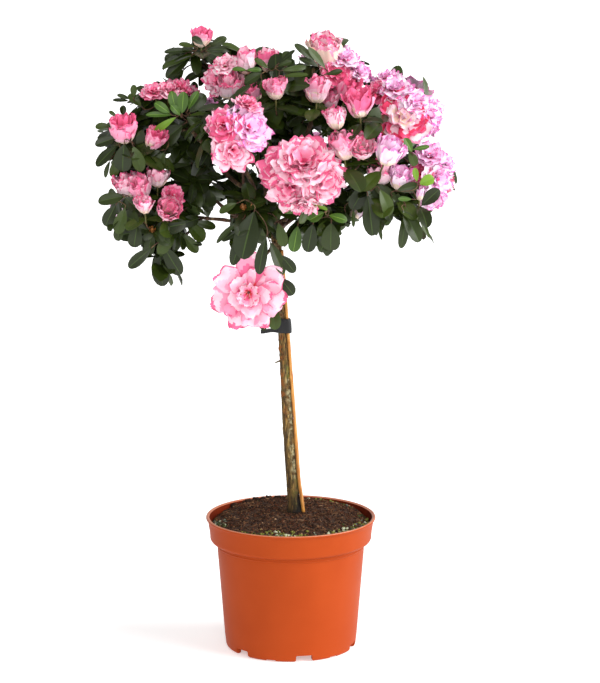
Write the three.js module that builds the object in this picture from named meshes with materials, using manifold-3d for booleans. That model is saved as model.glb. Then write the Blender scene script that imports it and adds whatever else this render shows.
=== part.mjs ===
// A standard azalea in flower: one bare stem tied to a cane, an umbrella crown of leafy, flowering
// masses carried on boughs, and a round plastic pot filled with compost.
// Millimetres, +Z up, the front of the plant towards -Y, the origin under the middle of the pot.
import * as THREE from "three";
import { mergeVertices } from "three/addons/utils/BufferGeometryUtils.js";
import Module from "manifold-3d";

const wasm = await Module();
wasm.setup();

const CLEARANCE = 0.3; // between any two pieces that touch

// ---- Pot: an injection moulded round pot with a deep rim band -------------------------------
const POT_HEIGHT = 134;
const RIM_RADIUS = 85;
const LIP_HEIGHT = 4;
const BAND_TOP_RADIUS = 83.2;
const BAND_FOOT_RADIUS = 80.8;
const BAND_FOOT_HEIGHT = 106;
const BODY_TOP_RADIUS = 73.7;
const BODY_TOP_HEIGHT = 98;
const BASE_RADIUS = 65.5;
const BASE_CORNER = 3.5;
const WALL = 1.7;
const FLOOR_HEIGHT = 3.4; // the floor's underside, above what the pot stands on
const FOOT_RING_WIDTH = 2.4;
const PAD_RADIUS = 18; // the flat foot under the middle of the floor
const POT_SEGMENTS = 36;

const NOTCHES = 6;
const FIRST_NOTCH = THREE.MathUtils.degToRad(-78); // angle about +Z, with -90 at the front
const DEEP_NOTCH = { width: 16.5, height: 6.8, slope: 1.4 };
const SHALLOW_NOTCH = { width: 11, height: 1.6, slope: 0.8 };
const DRAIN_HOLE = { inner: 32, outer: 54, width: 9 };

// ---- Compost ---------------------------------------------------------------------------------
const COMPOST_TOP = 138;
const COMPOST_EDGE = 127.5;
const SEAT_RADIUS = 20; // the level patch that the stem and the cane stand on

// ---- Stem and cane ---------------------------------------------------------------------------
const STEM_FOOT = [4.2, 0, COMPOST_TOP];
const STEM_TOP = [-15.5, 0, 430];
const STEM_BOW = 1.2; // how far the stem bows out of its straight line
const STEM_RADIUS_LOW = 5.3;
const STEM_RADIUS_HIGH = 4.3;
const ROOT_FLARE = 1.7;
const FLARE_HEIGHT = 9;

const CANE_FOOT = [12.7, -3.2, COMPOST_TOP];
const CANE_TOP = [-7.4, -3.6, 404];
const CANE_RADIUS = 2;

// ---- Tie: a black strip round the stem and the cane, with a loose tail -----------------------
const TIE_HEIGHT = 328.5; // of its middle
const TIE_DEPTH = 13;
const TIE_THICKNESS = 0.9;
const TIE_TAIL = { length: 18, depth: 4.2, thickness: 1 };

// ---- Crown -----------------------------------------------------------------------------------
// Each mass of leaves and flowers: its middle, its half width, half depth and half height, and
// the seed of its uneven outline.
const MASSES = {
  left_skirt: { middle: [-131, -38, 445], half: [52, 44, 43], seed: 3 },
  left_tip: { middle: [-130, -44, 403], half: [31, 28, 30], seed: 4 },
  left_inner: { middle: [-96, 8, 470], half: [33, 42, 34], seed: 5 },
  left_shoulder: { middle: [-154, -18, 509], half: [38, 42, 36], seed: 8 },
  left_upper: { middle: [-120, 14, 547], half: [43, 42, 32], seed: 11 },
  crest_left: { middle: [-93, 20, 590], half: [32, 32, 32], seed: 14 },
  crest_mid_left: { middle: [-53, 8, 582], half: [37, 38, 32], seed: 17 },
  face_left: { middle: [-57, -74, 530], half: [41, 40, 40], seed: 20 },
  crest_middle: { middle: [-2, -24, 566], half: [41, 42, 35], seed: 23 },
  crest_right: { middle: [38, 2, 577], half: [42, 42, 35], seed: 26 },
  face_middle: { middle: [14, -90, 495], half: [49, 40, 47], seed: 29 },
  face_right: { middle: [68, -72, 530], half: [38, 40, 38], seed: 32 },
  right_upper: { middle: [109, -8, 547], half: [44, 50, 40], seed: 35 },
  right_shoulder: { middle: [132, 6, 478], half: [31, 46, 45], seed: 38 },
  right_skirt: { middle: [94, -50, 464], half: [40, 38, 38], seed: 41 },
  right_tip: { middle: [117, -46, 432], half: [21, 24, 22], seed: 42 },
  low_middle: { middle: [28, -38, 440], half: [45, 34, 28], seed: 44 },
  low_left: { middle: [-42, -66, 449], half: [31, 28, 46], seed: 47 },
  hanging_spray: { middle: [-38, -56, 374], half: [40, 25, 41], seed: 50 },
  back_left: { middle: [-96, 82, 506], half: [54, 48, 48], seed: 53 },
  back_middle: { middle: [-6, 98, 508], half: [50, 46, 50], seed: 56 },
  back_right: { middle: [82, 78, 506], half: [52, 50, 52], seed: 59 },
  back_crest: { middle: [-6, 54, 562], half: [54, 44, 33], seed: 62 },
  back_low_left: { middle: [-48, 58, 456], half: [38, 38, 32], seed: 65 },
  back_low_right: { middle: [44, 52, 452], half: [40, 38, 32], seed: 68 },
};
const MASS_DETAIL = 2; // splits of each edge of the icosahedron
const LOBES = 9; // bumps and hollows on each mass
const LOBE_HEIGHT = 0.15; // as a share of the mass's half width
const LOBE_WIDTH = 0.55; // in radians

// Each bough: the mass that it carries, how far down the stem from its top it starts, how much it
// climbs before it bends over, and its radius at the stem and at the mass.
const BOUGHS = {
  bough_left_skirt: { to: "left_skirt", drop: 4, rise: 12, radii: [2.3, 1.5] },
  bough_left_inner: { to: "left_inner", drop: 10, rise: 4, radii: [2.2, 1.5] },
  bough_left_upper: { to: "left_upper", drop: 0, rise: 42, radii: [2.8, 1.9] },
  bough_crest_left: { to: "crest_mid_left", drop: 2, rise: 55, radii: [3.1, 2.1] },
  bough_face_left: { to: "face_left", drop: 6, rise: 30, radii: [2.6, 1.7] },
  bough_crest_right: { to: "crest_right", drop: 0, rise: 60, radii: [3.1, 2.1] },
  bough_face_middle: { to: "face_middle", drop: 12, rise: 20, radii: [2.6, 1.7] },
  bough_face_right: { to: "face_right", drop: 4, rise: 34, radii: [2.7, 1.8] },
  bough_right_skirt: { to: "right_skirt", drop: 14, rise: 8, radii: [2.4, 1.6] },
  bough_right_upper: { to: "right_upper", drop: 8, rise: 30, radii: [2.9, 1.9] },
  bough_hanging: { to: "hanging_spray", drop: 18, rise: -2, radii: [1.9, 1.3] },
  bough_back_left: { to: "back_left", drop: 8, rise: 24, radii: [2.7, 1.8] },
  bough_back_middle: { to: "back_middle", drop: 12, rise: 24, radii: [2.7, 1.8] },
  bough_back_right: { to: "back_right", drop: 6, rise: 26, radii: [2.7, 1.8] },
};
const BOUGH_SIDES = 6;
const BOUGH_RINGS = 4;

// ---- Materials -------------------------------------------------------------------------------
const material = (color, roughness) =>
  new THREE.MeshStandardMaterial({ color, roughness, metalness: 0 });
const MATERIALS = {
  pot: material(0xc4512a, 0.45),
  compost: material(0x3d2318, 0.95),
  bark: material(0x6d5a3c, 0.85),
  cane: material(0xd8952f, 0.5),
  tie: material(0x1b1b20, 0.5),
  foliage: material(0x2c3a22, 0.6),
};

// ---- Solids that can be joined and cut, from meshes and back -----------------------------------
function solidOf(geometry) {
  const bare = geometry.clone();
  for (const name of Object.keys(bare.attributes)) {
    if (name !== "position") bare.deleteAttribute(name);
  }
  const merged = mergeVertices(bare, 1e-4);
  const corners = merged.index.array;
  const kept = [];
  for (let i = 0; i < corners.length; i += 3) {
    const [a, b, c] = corners.slice(i, i + 3);
    if (a !== b && b !== c && c !== a) kept.push(a, b, c);
  }
  const vertProperties = new Float32Array(merged.getAttribute("position").array);
  return new wasm.Manifold(
    new wasm.Mesh({ numProp: 3, vertProperties, triVerts: new Uint32Array(kept) }),
  );
}

function geometryOf(solid) {
  const mesh = solid.getMesh();
  const geometry = new THREE.BufferGeometry();
  geometry.setAttribute("position", new THREE.BufferAttribute(mesh.vertProperties, 3));
  geometry.setIndex(new THREE.BufferAttribute(mesh.triVerts, 1));
  geometry.computeVertexNormals();
  return geometry;
}

const cut = (solid, tools) => tools.reduce((left, tool) => left.subtract(tool), solid);

// The separate piece of a solid that comes nearest a point.
function pieceNearest(solid, point) {
  const gap = (piece) => {
    const { min, max } = piece.boundingBox();
    const box = new THREE.Box3(new THREE.Vector3(...min), new THREE.Vector3(...max));
    return box.distanceToPoint(point);
  };
  return solid.decompose().reduce((best, piece) => (gap(piece) < gap(best) ? piece : best));
}

// ---- Seeded numbers, so that every mass keeps its own shape -----------------------------------
function randomFrom(seed) {
  let state = seed * 2654435761;
  return () => {
    state = (state + 0x6d2b79f5) | 0;
    let t = Math.imul(state ^ (state >>> 15), 1 | state);
    t = (t + Math.imul(t ^ (t >>> 7), 61 | t)) ^ t;
    return ((t ^ (t >>> 14)) >>> 0) / 4294967296;
  };
}

// ---- Pot ---------------------------------------------------------------------------------------
function lathe(profile) {
  const points = profile.map(([radius, height]) => new THREE.Vector2(radius, height));
  return new THREE.LatheGeometry(points, POT_SEGMENTS).rotateX(Math.PI / 2);
}

// A quarter circle from one point to another, bulging out of the corner between them.
function corner([fromRadius, fromHeight], [toRadius, toHeight], steps = 2) {
  return Array.from({ length: steps + 1 }, (_, i) => {
    const angle = (i / steps) * (Math.PI / 2);
    return [
      fromRadius + (toRadius - fromRadius) * Math.sin(angle),
      fromHeight + (toHeight - fromHeight) * (1 - Math.cos(angle)),
    ];
  });
}

const innerRadiusAt = (height) => {
  const inside = new THREE.Vector2(BASE_RADIUS - WALL, BODY_TOP_RADIUS - WALL);
  return THREE.MathUtils.mapLinear(height, 0, BODY_TOP_HEIGHT, inside.x, inside.y);
};

function potWall() {
  const floorTop = FLOOR_HEIGHT + WALL;
  const lipFoot = POT_HEIGHT - LIP_HEIGHT;
  const outside = [
    [0, 0],
    [PAD_RADIUS, 0],
    [PAD_RADIUS + 1, FLOOR_HEIGHT],
    [BASE_RADIUS - BASE_CORNER - FOOT_RING_WIDTH, FLOOR_HEIGHT],
    [BASE_RADIUS - BASE_CORNER - FOOT_RING_WIDTH, 0],
    ...corner([BASE_RADIUS - BASE_CORNER, 0], [BASE_RADIUS, BASE_CORNER]),
    [BODY_TOP_RADIUS, BODY_TOP_HEIGHT],
    ...corner([BODY_TOP_RADIUS + 1, BODY_TOP_HEIGHT], [BAND_FOOT_RADIUS, BAND_FOOT_HEIGHT]),
    [BAND_TOP_RADIUS, lipFoot - 1],
    [RIM_RADIUS, lipFoot],
    [RIM_RADIUS, POT_HEIGHT - 1],
    [RIM_RADIUS - 1, POT_HEIGHT],
  ];
  const inside = [
    [BAND_TOP_RADIUS - WALL, POT_HEIGHT],
    [BAND_FOOT_RADIUS - WALL, BAND_FOOT_HEIGHT + WALL],
    [BODY_TOP_RADIUS - WALL, BODY_TOP_HEIGHT + WALL],
    [innerRadiusAt(floorTop), floorTop],
    [0, floorTop],
  ];
  return solidOf(lathe([...outside, ...inside]));
}

// A tapered slot through the foot of the wall, open downwards.
function footNotch({ width, height, slope }, angle) {
  const half = width / 2;
  const outline = new THREE.Shape([
    new THREE.Vector2(-half, -1),
    new THREE.Vector2(half, -1),
    new THREE.Vector2(half - slope, height),
    new THREE.Vector2(slope - half, height),
  ]);
  const reach = BASE_CORNER + FOOT_RING_WIDTH + 4;
  const slot = new THREE.ExtrudeGeometry(outline, { depth: reach, bevelEnabled: false });
  slot.rotateX(Math.PI / 2).rotateZ(Math.PI / 2);
  slot.translate(BASE_RADIUS + 2 - reach, 0, 0);
  return solidOf(slot.rotateZ(angle));
}

function drainHole({ inner, outer, width }, angle) {
  const slot = new THREE.BoxGeometry(outer - inner, width, 3 * WALL);
  slot.translate((inner + outer) / 2, 0, FLOOR_HEIGHT + WALL / 2);
  return solidOf(slot.rotateZ(angle));
}

function pot() {
  const step = (2 * Math.PI) / NOTCHES;
  const openings = [];
  for (let i = 0; i < NOTCHES; i++) {
    const angle = FIRST_NOTCH + i * step;
    openings.push(footNotch(DEEP_NOTCH, angle));
    openings.push(footNotch(SHALLOW_NOTCH, angle + step / 2));
    openings.push(drainHole(DRAIN_HOLE, angle));
  }
  return cut(potWall(), openings);
}

// ---- Compost: fills the pot and heaps up round the stem ----------------------------------------
function compost() {
  const foot = FLOOR_HEIGHT + WALL + CLEARANCE;
  const edge = BAND_TOP_RADIUS - WALL - 2 * CLEARANCE - 0.6;
  const rings = 3;
  const dome = Array.from({ length: rings + 1 }, (_, i) => {
    const radius = THREE.MathUtils.lerp(edge, SEAT_RADIUS, i / rings);
    const share = (radius - SEAT_RADIUS) / (edge - SEAT_RADIUS);
    return [radius, COMPOST_TOP - (COMPOST_TOP - COMPOST_EDGE) * share * share];
  });
  return solidOf(
    lathe([
      [0, foot],
      [innerRadiusAt(foot) - CLEARANCE, foot],
      [BODY_TOP_RADIUS - WALL - 2 * CLEARANCE, BODY_TOP_HEIGHT + WALL],
      [BAND_FOOT_RADIUS - WALL - 3 * CLEARANCE, BAND_FOOT_HEIGHT + WALL + CLEARANCE],
      ...dome,
      [0, COMPOST_TOP],
    ]),
  );
}

// ---- Limbs: a cylinder bent along a curve, with a radius that changes along it -----------------
function limb(points, radiusAt, sides, rings) {
  const curve = new THREE.CatmullRomCurve3(points);
  const frames = curve.computeFrenetFrames(rings, false);
  const geometry = new THREE.CylinderGeometry(1, 1, 1, sides, rings);
  const position = geometry.getAttribute("position");
  for (let i = 0; i < position.count; i++) {
    const share = position.getY(i) + 0.5;
    const ring = Math.round(share * rings);
    const at = curve
      .getPointAt(share)
      .addScaledVector(frames.normals[ring], position.getX(i) * radiusAt(share))
      .addScaledVector(frames.binormals[ring], -position.getZ(i) * radiusAt(share));
    position.setXYZ(i, at.x, at.y, at.z);
  }
  return solidOf(geometry);
}

function stem(grow = 0) {
  const foot = new THREE.Vector3(...STEM_FOOT);
  const top = new THREE.Vector3(...STEM_TOP);
  const below = foot.clone().lerp(top, -0.03); // the flat cut trims this end off
  const low = foot.clone().lerp(top, 0.35).add(new THREE.Vector3(-STEM_BOW, 0, 0));
  const high = foot.clone().lerp(top, 0.7).add(new THREE.Vector3(STEM_BOW / 2, 0, 0));
  const length = top.distanceTo(below);
  const radiusAt = (share) =>
    THREE.MathUtils.lerp(STEM_RADIUS_LOW, STEM_RADIUS_HIGH, share) +
    ROOT_FLARE * Math.exp((-share * length) / FLARE_HEIGHT) +
    grow;
  return limb([below, low, high, top], radiusAt, 9, 12).trimByPlane(
    [0, 0, 1],
    COMPOST_TOP + CLEARANCE,
  );
}

function cane(grow = 0) {
  const foot = new THREE.Vector3(...CANE_FOOT);
  const top = new THREE.Vector3(...CANE_TOP);
  const below = foot.clone().lerp(top, -0.03);
  return limb([below, top], () => CANE_RADIUS + grow, 10, 2).trimByPlane(
    [0, 0, 1],
    COMPOST_TOP + CLEARANCE,
  );
}

// ---- Tie ---------------------------------------------------------------------------------------
// The point at a height on the straight line through two points.
function pointAt(height, from, to) {
  const start = new THREE.Vector3(...from);
  return start.lerp(new THREE.Vector3(...to), (height - from[2]) / (to[2] - from[2]));
}

// The outline round two circles of different radii, as an extrudable shape.
function beltShape(first, firstRadius, second, secondRadius, steps = 7) {
  const line = new THREE.Vector2().subVectors(second, first);
  const heading = line.angle();
  const lean = Math.acos((firstRadius - secondRadius) / line.length());
  const arc = (centre, radius, from, to) =>
    Array.from({ length: steps + 1 }, (_, i) => {
      const angle = from + ((to - from) * i) / steps;
      return new THREE.Vector2(Math.cos(angle), Math.sin(angle))
        .multiplyScalar(radius)
        .add(centre);
    });
  return new THREE.Shape([
    ...arc(first, firstRadius, heading + lean, heading + 2 * Math.PI - lean),
    ...arc(second, secondRadius, heading - lean, heading + lean),
  ]);
}

function tie() {
  const stemAt = pointAt(TIE_HEIGHT, STEM_FOOT, STEM_TOP);
  const caneAt = pointAt(TIE_HEIGHT, CANE_FOOT, CANE_TOP);
  const first = new THREE.Vector2(0, 0);
  const second = new THREE.Vector2(caneAt.x - stemAt.x, caneAt.y - stemAt.y);
  const stemRadius = STEM_RADIUS_HIGH + 3 * CLEARANCE;
  const caneRadius = CANE_RADIUS + CLEARANCE;
  const belt = (grow) => {
    const shape = beltShape(first, stemRadius + grow, second, caneRadius + grow);
    const options = { depth: TIE_DEPTH + (grow ? 0 : 2), bevelEnabled: false };
    return new THREE.ExtrudeGeometry(shape, options).translate(0, 0, -options.depth / 2);
  };
  const tail = new THREE.BoxGeometry(TIE_TAIL.length, TIE_TAIL.thickness, TIE_TAIL.depth);
  tail.translate(
    -stemRadius - TIE_TAIL.length / 2 + 2,
    -stemRadius + 1,
    (TIE_TAIL.depth - TIE_DEPTH) / 2,
  );
  const lean = Math.atan2(STEM_TOP[0] - STEM_FOOT[0], STEM_TOP[2] - STEM_FOOT[2]);
  const placed = (geometry) =>
    solidOf(geometry.rotateY(lean).translate(stemAt.x, stemAt.y, stemAt.z));
  const band = placed(belt(TIE_THICKNESS)).add(placed(tail));
  return cut(band, [placed(belt(0)), stem(CLEARANCE), cane(CLEARANCE)]);
}

// ---- Masses: uneven lumps, cut apart by planes where they meet ----------------------------------
// How far a mass reaches from its middle, in a direction, before its lobes are added.
function reach({ half }, direction) {
  const scaled = direction.clone().divide(new THREE.Vector3(...half));
  return 1 / scaled.length();
}

function lobesOf({ seed }) {
  const random = randomFrom(seed);
  return Array.from({ length: LOBES }, (_, i) => {
    const height = 2 * random() - 1;
    const turn = 2 * Math.PI * random();
    const flat = Math.sqrt(1 - height * height);
    return {
      towards: new THREE.Vector3(flat * Math.cos(turn), flat * Math.sin(turn), height),
      height: LOBE_HEIGHT * (i % 3 === 0 ? -0.9 : 0.5 + 0.5 * random()),
    };
  });
}

function lump(mass, grow = 0) {
  const geometry = new THREE.IcosahedronGeometry(1, MASS_DETAIL);
  const position = geometry.getAttribute("position");
  const half = new THREE.Vector3(...mass.half).addScalar(grow);
  const lobes = lobesOf(mass);
  for (let i = 0; i < position.count; i++) {
    const direction = new THREE.Vector3().fromBufferAttribute(position, i).normalize();
    let swell = 1 - LOBE_HEIGHT / 3;
    for (const lobe of lobes) {
      const angle = direction.angleTo(lobe.towards) / LOBE_WIDTH;
      swell += lobe.height * Math.exp(-angle * angle);
    }
    direction.multiply(half).multiplyScalar(swell);
    position.setXYZ(i, direction.x, direction.y, direction.z);
  }
  return solidOf(geometry.translate(...mass.middle));
}

// Cuts a lump back to the plane where it meets another, which lies further from the larger.
function trimmed(solid, mass, other) {
  const towards = new THREE.Vector3(...other.middle).sub(new THREE.Vector3(...mass.middle));
  const apart = towards.length();
  const direction = towards.clone().normalize();
  const [mine, theirs] = [reach(mass, direction), reach(other, direction)];
  const most = 1 + LOBE_HEIGHT;
  if (mine * most + theirs * most < apart) return solid;
  const share = (apart * apart + mine * mine - theirs * theirs) / (2 * apart);
  const facing = direction.clone().negate();
  const offset = facing.dot(
    new THREE.Vector3(...mass.middle).addScaledVector(direction, share - CLEARANCE / 2),
  );
  return solid.trimByPlane(facing.toArray(), offset);
}

function masses(stemSpace) {
  const named = Object.entries(MASSES);
  return named.map(([name, mass]) => {
    const others = named.filter(([other]) => other !== name);
    const apart = others.reduce((left, [, other]) => trimmed(left, mass, other), lump(mass));
    return [name, cut(apart, stemSpace)];
  });
}

// ---- Boughs: from the stem to the outside of the mass that each carries ------------------------
function boughLine({ to, drop, rise }) {
  const [foot, top] = [new THREE.Vector3(...STEM_FOOT), new THREE.Vector3(...STEM_TOP)];
  const start = top.clone().lerp(foot, drop / top.distanceTo(foot));
  const end = new THREE.Vector3(...MASSES[to].middle);
  const bend = start.clone().lerp(end, 0.4);
  bend.z = THREE.MathUtils.lerp(start.z, end.z, 0.2) + rise * 0.5;
  return [start, bend, end];
}

function bough(plan, grow = 0) {
  const [thick, thin] = plan.radii;
  const radiusAt = (share) => THREE.MathUtils.lerp(thick, thin, share) + grow;
  return limb(boughLine(plan), radiusAt, BOUGH_SIDES, BOUGH_RINGS);
}

function boughs(stemSpace) {
  const grownMasses = Object.values(MASSES).map((mass) => lump(mass, 3 * CLEARANCE));
  const placed = [];
  return Object.entries(BOUGHS).map(([name, plan]) => {
    const free = cut(bough(plan), [...stemSpace, ...placed, ...grownMasses]);
    placed.push(bough(plan, CLEARANCE));
    return [name, pieceNearest(free, boughLine(plan)[0])];
  });
}

// ---- Assembly ----------------------------------------------------------------------------------
const plant = new THREE.Group();

function groupAt(position) {
  const group = new THREE.Group();
  group.position.set(...position);
  plant.add(group);
  return group;
}

// Adds a solid to a group as a mesh whose own origin is the given point of the plant.
function place(group, name, solid, finish, origin = group.position.toArray()) {
  const own = solid.translate(origin.map((value) => -value));
  const mesh = new THREE.Mesh(geometryOf(own), MATERIALS[finish]);
  mesh.position.set(...origin).sub(group.position);
  mesh.name = name;
  group.add(mesh);
}

const potted = groupAt([0, 0, 0]);
place(potted, "pot", pot(), "pot");
place(potted, "compost", compost(), "compost");

const standing = groupAt(STEM_FOOT);
place(standing, "stem", stem(), "bark");
place(standing, "cane", cane(), "cane", CANE_FOOT);
place(standing, "tie", tie(), "tie", pointAt(TIE_HEIGHT, STEM_FOOT, STEM_TOP).toArray());

const crown = groupAt(STEM_TOP);
const stemSpace = [stem(CLEARANCE), cane(CLEARANCE)];
for (const [name, solid] of boughs(stemSpace)) place(crown, name, solid, "bark");
for (const [name, solid] of masses(stemSpace)) {
  place(crown, `foliage_${name}`, solid, "foliage", MASSES[name].middle);
}

export default plant;
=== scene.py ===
"""A standard azalea in flower, in a round plastic pot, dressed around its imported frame.

The frame holds the pot, compost, stem, boughs, cane, tie and one plain solid for each mass of the
crown. Each class below takes its place and size from those nodes, builds what they stand for and
gives it its finish. Lengths are metres; MM turns a size in millimetres into metres.
"""

import logging
import math
import random
from dataclasses import dataclass
from enum import Enum

import bpy
import numpy as np
from mathutils import Matrix, Vector, noise
from mathutils.bvhtree import BVHTree


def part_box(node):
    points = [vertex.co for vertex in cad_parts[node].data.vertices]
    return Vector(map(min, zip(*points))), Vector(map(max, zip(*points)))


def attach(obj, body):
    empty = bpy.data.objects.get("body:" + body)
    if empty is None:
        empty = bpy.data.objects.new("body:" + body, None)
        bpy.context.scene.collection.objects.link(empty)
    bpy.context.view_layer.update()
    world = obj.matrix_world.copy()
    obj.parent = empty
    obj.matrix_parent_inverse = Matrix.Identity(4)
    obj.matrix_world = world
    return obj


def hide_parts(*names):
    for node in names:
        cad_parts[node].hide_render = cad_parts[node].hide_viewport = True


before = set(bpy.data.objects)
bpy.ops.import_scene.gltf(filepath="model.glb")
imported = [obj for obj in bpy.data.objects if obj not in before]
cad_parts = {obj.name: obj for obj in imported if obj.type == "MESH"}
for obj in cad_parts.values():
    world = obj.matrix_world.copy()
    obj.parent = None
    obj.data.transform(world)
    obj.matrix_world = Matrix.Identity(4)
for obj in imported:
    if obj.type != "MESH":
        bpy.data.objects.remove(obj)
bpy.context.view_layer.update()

Array = np.ndarray
Pair = tuple[Array, Array]
Colour = tuple[int, int, int]
Material = bpy.types.Material
Thing = bpy.types.Object

MM = 0.001
TAU = 2 * math.pi
GOLDEN_ANGLE = math.pi * (3 - math.sqrt(5))
UP = np.array([0.0, 0.0, 1.0])
FRONT = np.array([0.0, -1.0, 0.0])
EYE = np.array([0.0093, -3.0, 0.904])  # where the camera stands
HEART = np.array([-0.015, 0.0, 0.49])  # the middle of the crown, which flowers face away from
log = logging.getLogger("azalea")


# ---- Small sums ----
def unit(vector: Array) -> Array:
    """The vector at length one."""
    return vector / max(float(np.linalg.norm(vector)), 1e-9)


def gap(places: Array, other: Array) -> Array:
    """How far each place is from another."""
    return np.linalg.norm(places - other, axis=-1)


def mix(low: float, high: float, share: float) -> float:
    """The value that lies a share of the way from low to high."""
    return low + (high - low) * share


def smooth_step(value: Array) -> Array:
    """Nought to one with level ends."""
    held = np.clip(value, 0.0, 1.0)
    return held * held * (3 - 2 * held)


def across(axis: Array) -> Pair:
    """Two unit directions at right angles to a unit axis and to each other."""
    first = unit(np.cross(axis, UP if abs(axis[2]) < 0.9 else FRONT))
    return first, np.cross(axis, first)


def turned(axis: Array, tilt: float, turn: float) -> Array:
    """The direction a tilt away from an axis, at a turn about it, both in radians.

    Args:
        axis: A unit direction.
        tilt: The tilt.
        turn: The turn.

    Returns:
        The direction.
    """
    first, second = across(axis)
    sideways = math.cos(turn) * first + math.sin(turn) * second
    return unit(math.cos(tilt) * axis + math.sin(tilt) * sideways)


def seen(place: Array) -> Array:
    """Where the line from the camera to a place crosses the upright plane through the stem."""
    return (EYE + (place - EYE) * EYE[1] / (EYE[1] - place[1]))[[0, 2]]


def ring(count: int) -> Array:
    """That many angles, evenly round a circle."""
    return np.linspace(0, TAU, count, endpoint=False)


def scatter(chance: random.Random) -> Array:
    """A random step, as likely one way as another."""
    return np.array([chance.gauss(0, 1) for _ in range(3)])


def lumps(points: Array, scale: float, octaves: int = 3) -> Array:
    """Layered noise at each point, about -1 to 1, whose broadest lumps are a scale across."""
    return np.array([noise.fractal(Vector(p / scale), 0.6, 2.0, octaves) for p in points])


def quads(rows: int, columns: int, closed: bool = False) -> Array:
    """Faces between neighbouring points of a grid.

    Args:
        rows: Points along the grid.
        columns: Points across it.
        closed: True if the last column joins the first, as round a tube.

    Returns:
        Four corner numbers for each face.
    """
    number = np.arange(rows * columns).reshape(rows, columns)
    if closed:
        number = np.hstack([number, number[:, :1]])
    corners = [number[:-1, :-1], number[:-1, 1:], number[1:, 1:], number[1:, :-1]]
    return np.stack(corners, -1).reshape(-1, 4)


def tube(path: Array, radii: Array, sides: int) -> Pair:
    """A round limb along a path, closed at both ends.

    Args:
        path: Places along the middle of the limb.
        radii: The limb's radius at each of them.
        sides: Points round the limb, an even number.

    Returns:
        The limb's points, ring after ring, and its faces.
    """
    heading = np.gradient(path, axis=0)
    heading /= np.linalg.norm(heading, axis=1, keepdims=True)
    first, _ = across(heading[0])
    angle = ring(sides)[:, None]
    rings = []
    for place, along, radius in zip(path, heading, radii):
        first = unit(first - along * float(first @ along))
        second = np.cross(along, first)
        rings.append(place + radius * (np.cos(angle) * first + np.sin(angle) * second))
    half = np.arange(sides // 2 - 1)
    lid = np.stack([sides - 1 - half, sides - 2 - half, half + 1, half], -1)
    far_lid = lid[:, ::-1] + (len(path) - 1) * sides
    return np.vstack(rings), np.vstack([quads(len(path), sides, closed=True), lid, far_lid])


# ---- Meshes ----
def put(name: str, data: bpy.types.ID) -> Thing:
    """Makes an object and puts it in the scene.

    Args:
        name: The object's name.
        data: Its mesh, light or camera.

    Returns:
        The object.
    """
    made = bpy.data.objects.new(name, data)
    bpy.context.scene.collection.objects.link(made)
    return made


class Gathering:
    """Blocks of points and faces that become one mesh piece."""

    def __init__(self) -> None:
        """Starts empty."""
        self.blocks: list[tuple[Array, ...]] = []
        self.count = 0

    def add(self, points: Array, faces: Array, finish: int | Array = 0) -> None:
        """Adds a block.

        Args:
            points: Places, one in each row.
            faces: Corner numbers of each face, counted from the block's first point.
            finish: Number of the finish, one for all or one for each face.
        """
        sizes = np.full(len(faces), faces.shape[1])
        finishes = np.broadcast_to(finish, len(faces))
        self.blocks.append((points, (faces + self.count).ravel(), sizes, finishes))
        self.count += len(points)

    def total(self) -> int:
        """How many triangles the blocks make."""
        return int(sum((sizes - 2).sum() for _, _, sizes, _ in self.blocks))

    def piece(self, name: str, materials: list[Material]) -> Thing:
        """Makes the mesh piece, riding on the plant's only body.

        Args:
            name: The piece's name.
            materials: Its material slots, in the order that finish numbers count.

        Returns:
            The new object.
        """
        points, corners, sizes, finishes = (np.concatenate(part) for part in zip(*self.blocks))
        mesh = bpy.data.meshes.new(name)
        mesh.vertices.add(self.count)
        mesh.loops.add(len(corners))
        mesh.polygons.add(len(sizes))
        for material in materials:
            mesh.materials.append(material)
        for part, label, values, kind in (
            (mesh.vertices, "co", points.ravel(), np.float32),
            (mesh.loops, "vertex_index", corners, np.int32),
            (mesh.polygons, "loop_start", np.cumsum(sizes) - sizes, np.int32),
            (mesh.polygons, "material_index", finishes, np.int32),
        ):
            part.foreach_set(label, values.astype(kind))
        mesh.update(calc_edges=True)
        mesh.validate()
        mesh.shade_smooth()
        made = put(name, mesh)
        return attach(made, "root")


# ---- Finishes ----
def shade(colour: Colour) -> tuple[float, ...]:
    """A display colour, 0 to 255, as the linear colour that a shader takes."""
    parts = [value / 255 for value in colour]
    return (*(p / 12.92 if p <= 0.04045 else ((p + 0.055) / 1.055) ** 2.4 for p in parts), 1.0)


class Wiring:
    """A node tree being filled, of a material or of a group."""

    def __init__(self, tree: bpy.types.NodeTree) -> None:
        """Takes the tree to fill."""
        self.tree = tree

    def node(self, kind: str, **inputs: object) -> bpy.types.Node:
        """Adds a node.

        Args:
            kind: The node's type, without its Shader prefix, or the name of an effect group.
            inputs: Values or sockets for its inputs, and for its own settings.

        Returns:
            The node.
        """
        group = bpy.data.node_groups.get(kind)
        made = self.tree.nodes.new("ShaderNodeGroup" if group else f"ShaderNode{kind}")
        if group:
            made.node_tree = group
        for name, value in inputs.items():
            if hasattr(made, name):
                setattr(made, name, value)
            else:
                self.feed(made.inputs[name.replace("_", " ")], value)
        return made

    def feed(self, socket: bpy.types.NodeSocket, value: object) -> None:
        """Links a socket to another, or sets its plain value.

        Args:
            socket: The input.
            value: A plain value, or the socket to link it to.
        """
        if isinstance(value, bpy.types.NodeSocket):
            self.tree.links.new(value, socket)
        else:
            socket.default_value = value

    def value(self, kind: str, *values: object, **own: str) -> bpy.types.NodeSocket:
        """Adds a node that gives one value.

        Args:
            kind: As for node.
            values: Values or sockets for its first inputs, in order.
            own: The node's own settings.

        Returns:
            The output socket.
        """
        made = self.node(kind, **own)
        for socket, value in zip(made.inputs, values):
            self.feed(socket, value)
        return made.outputs["Value"]


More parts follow.
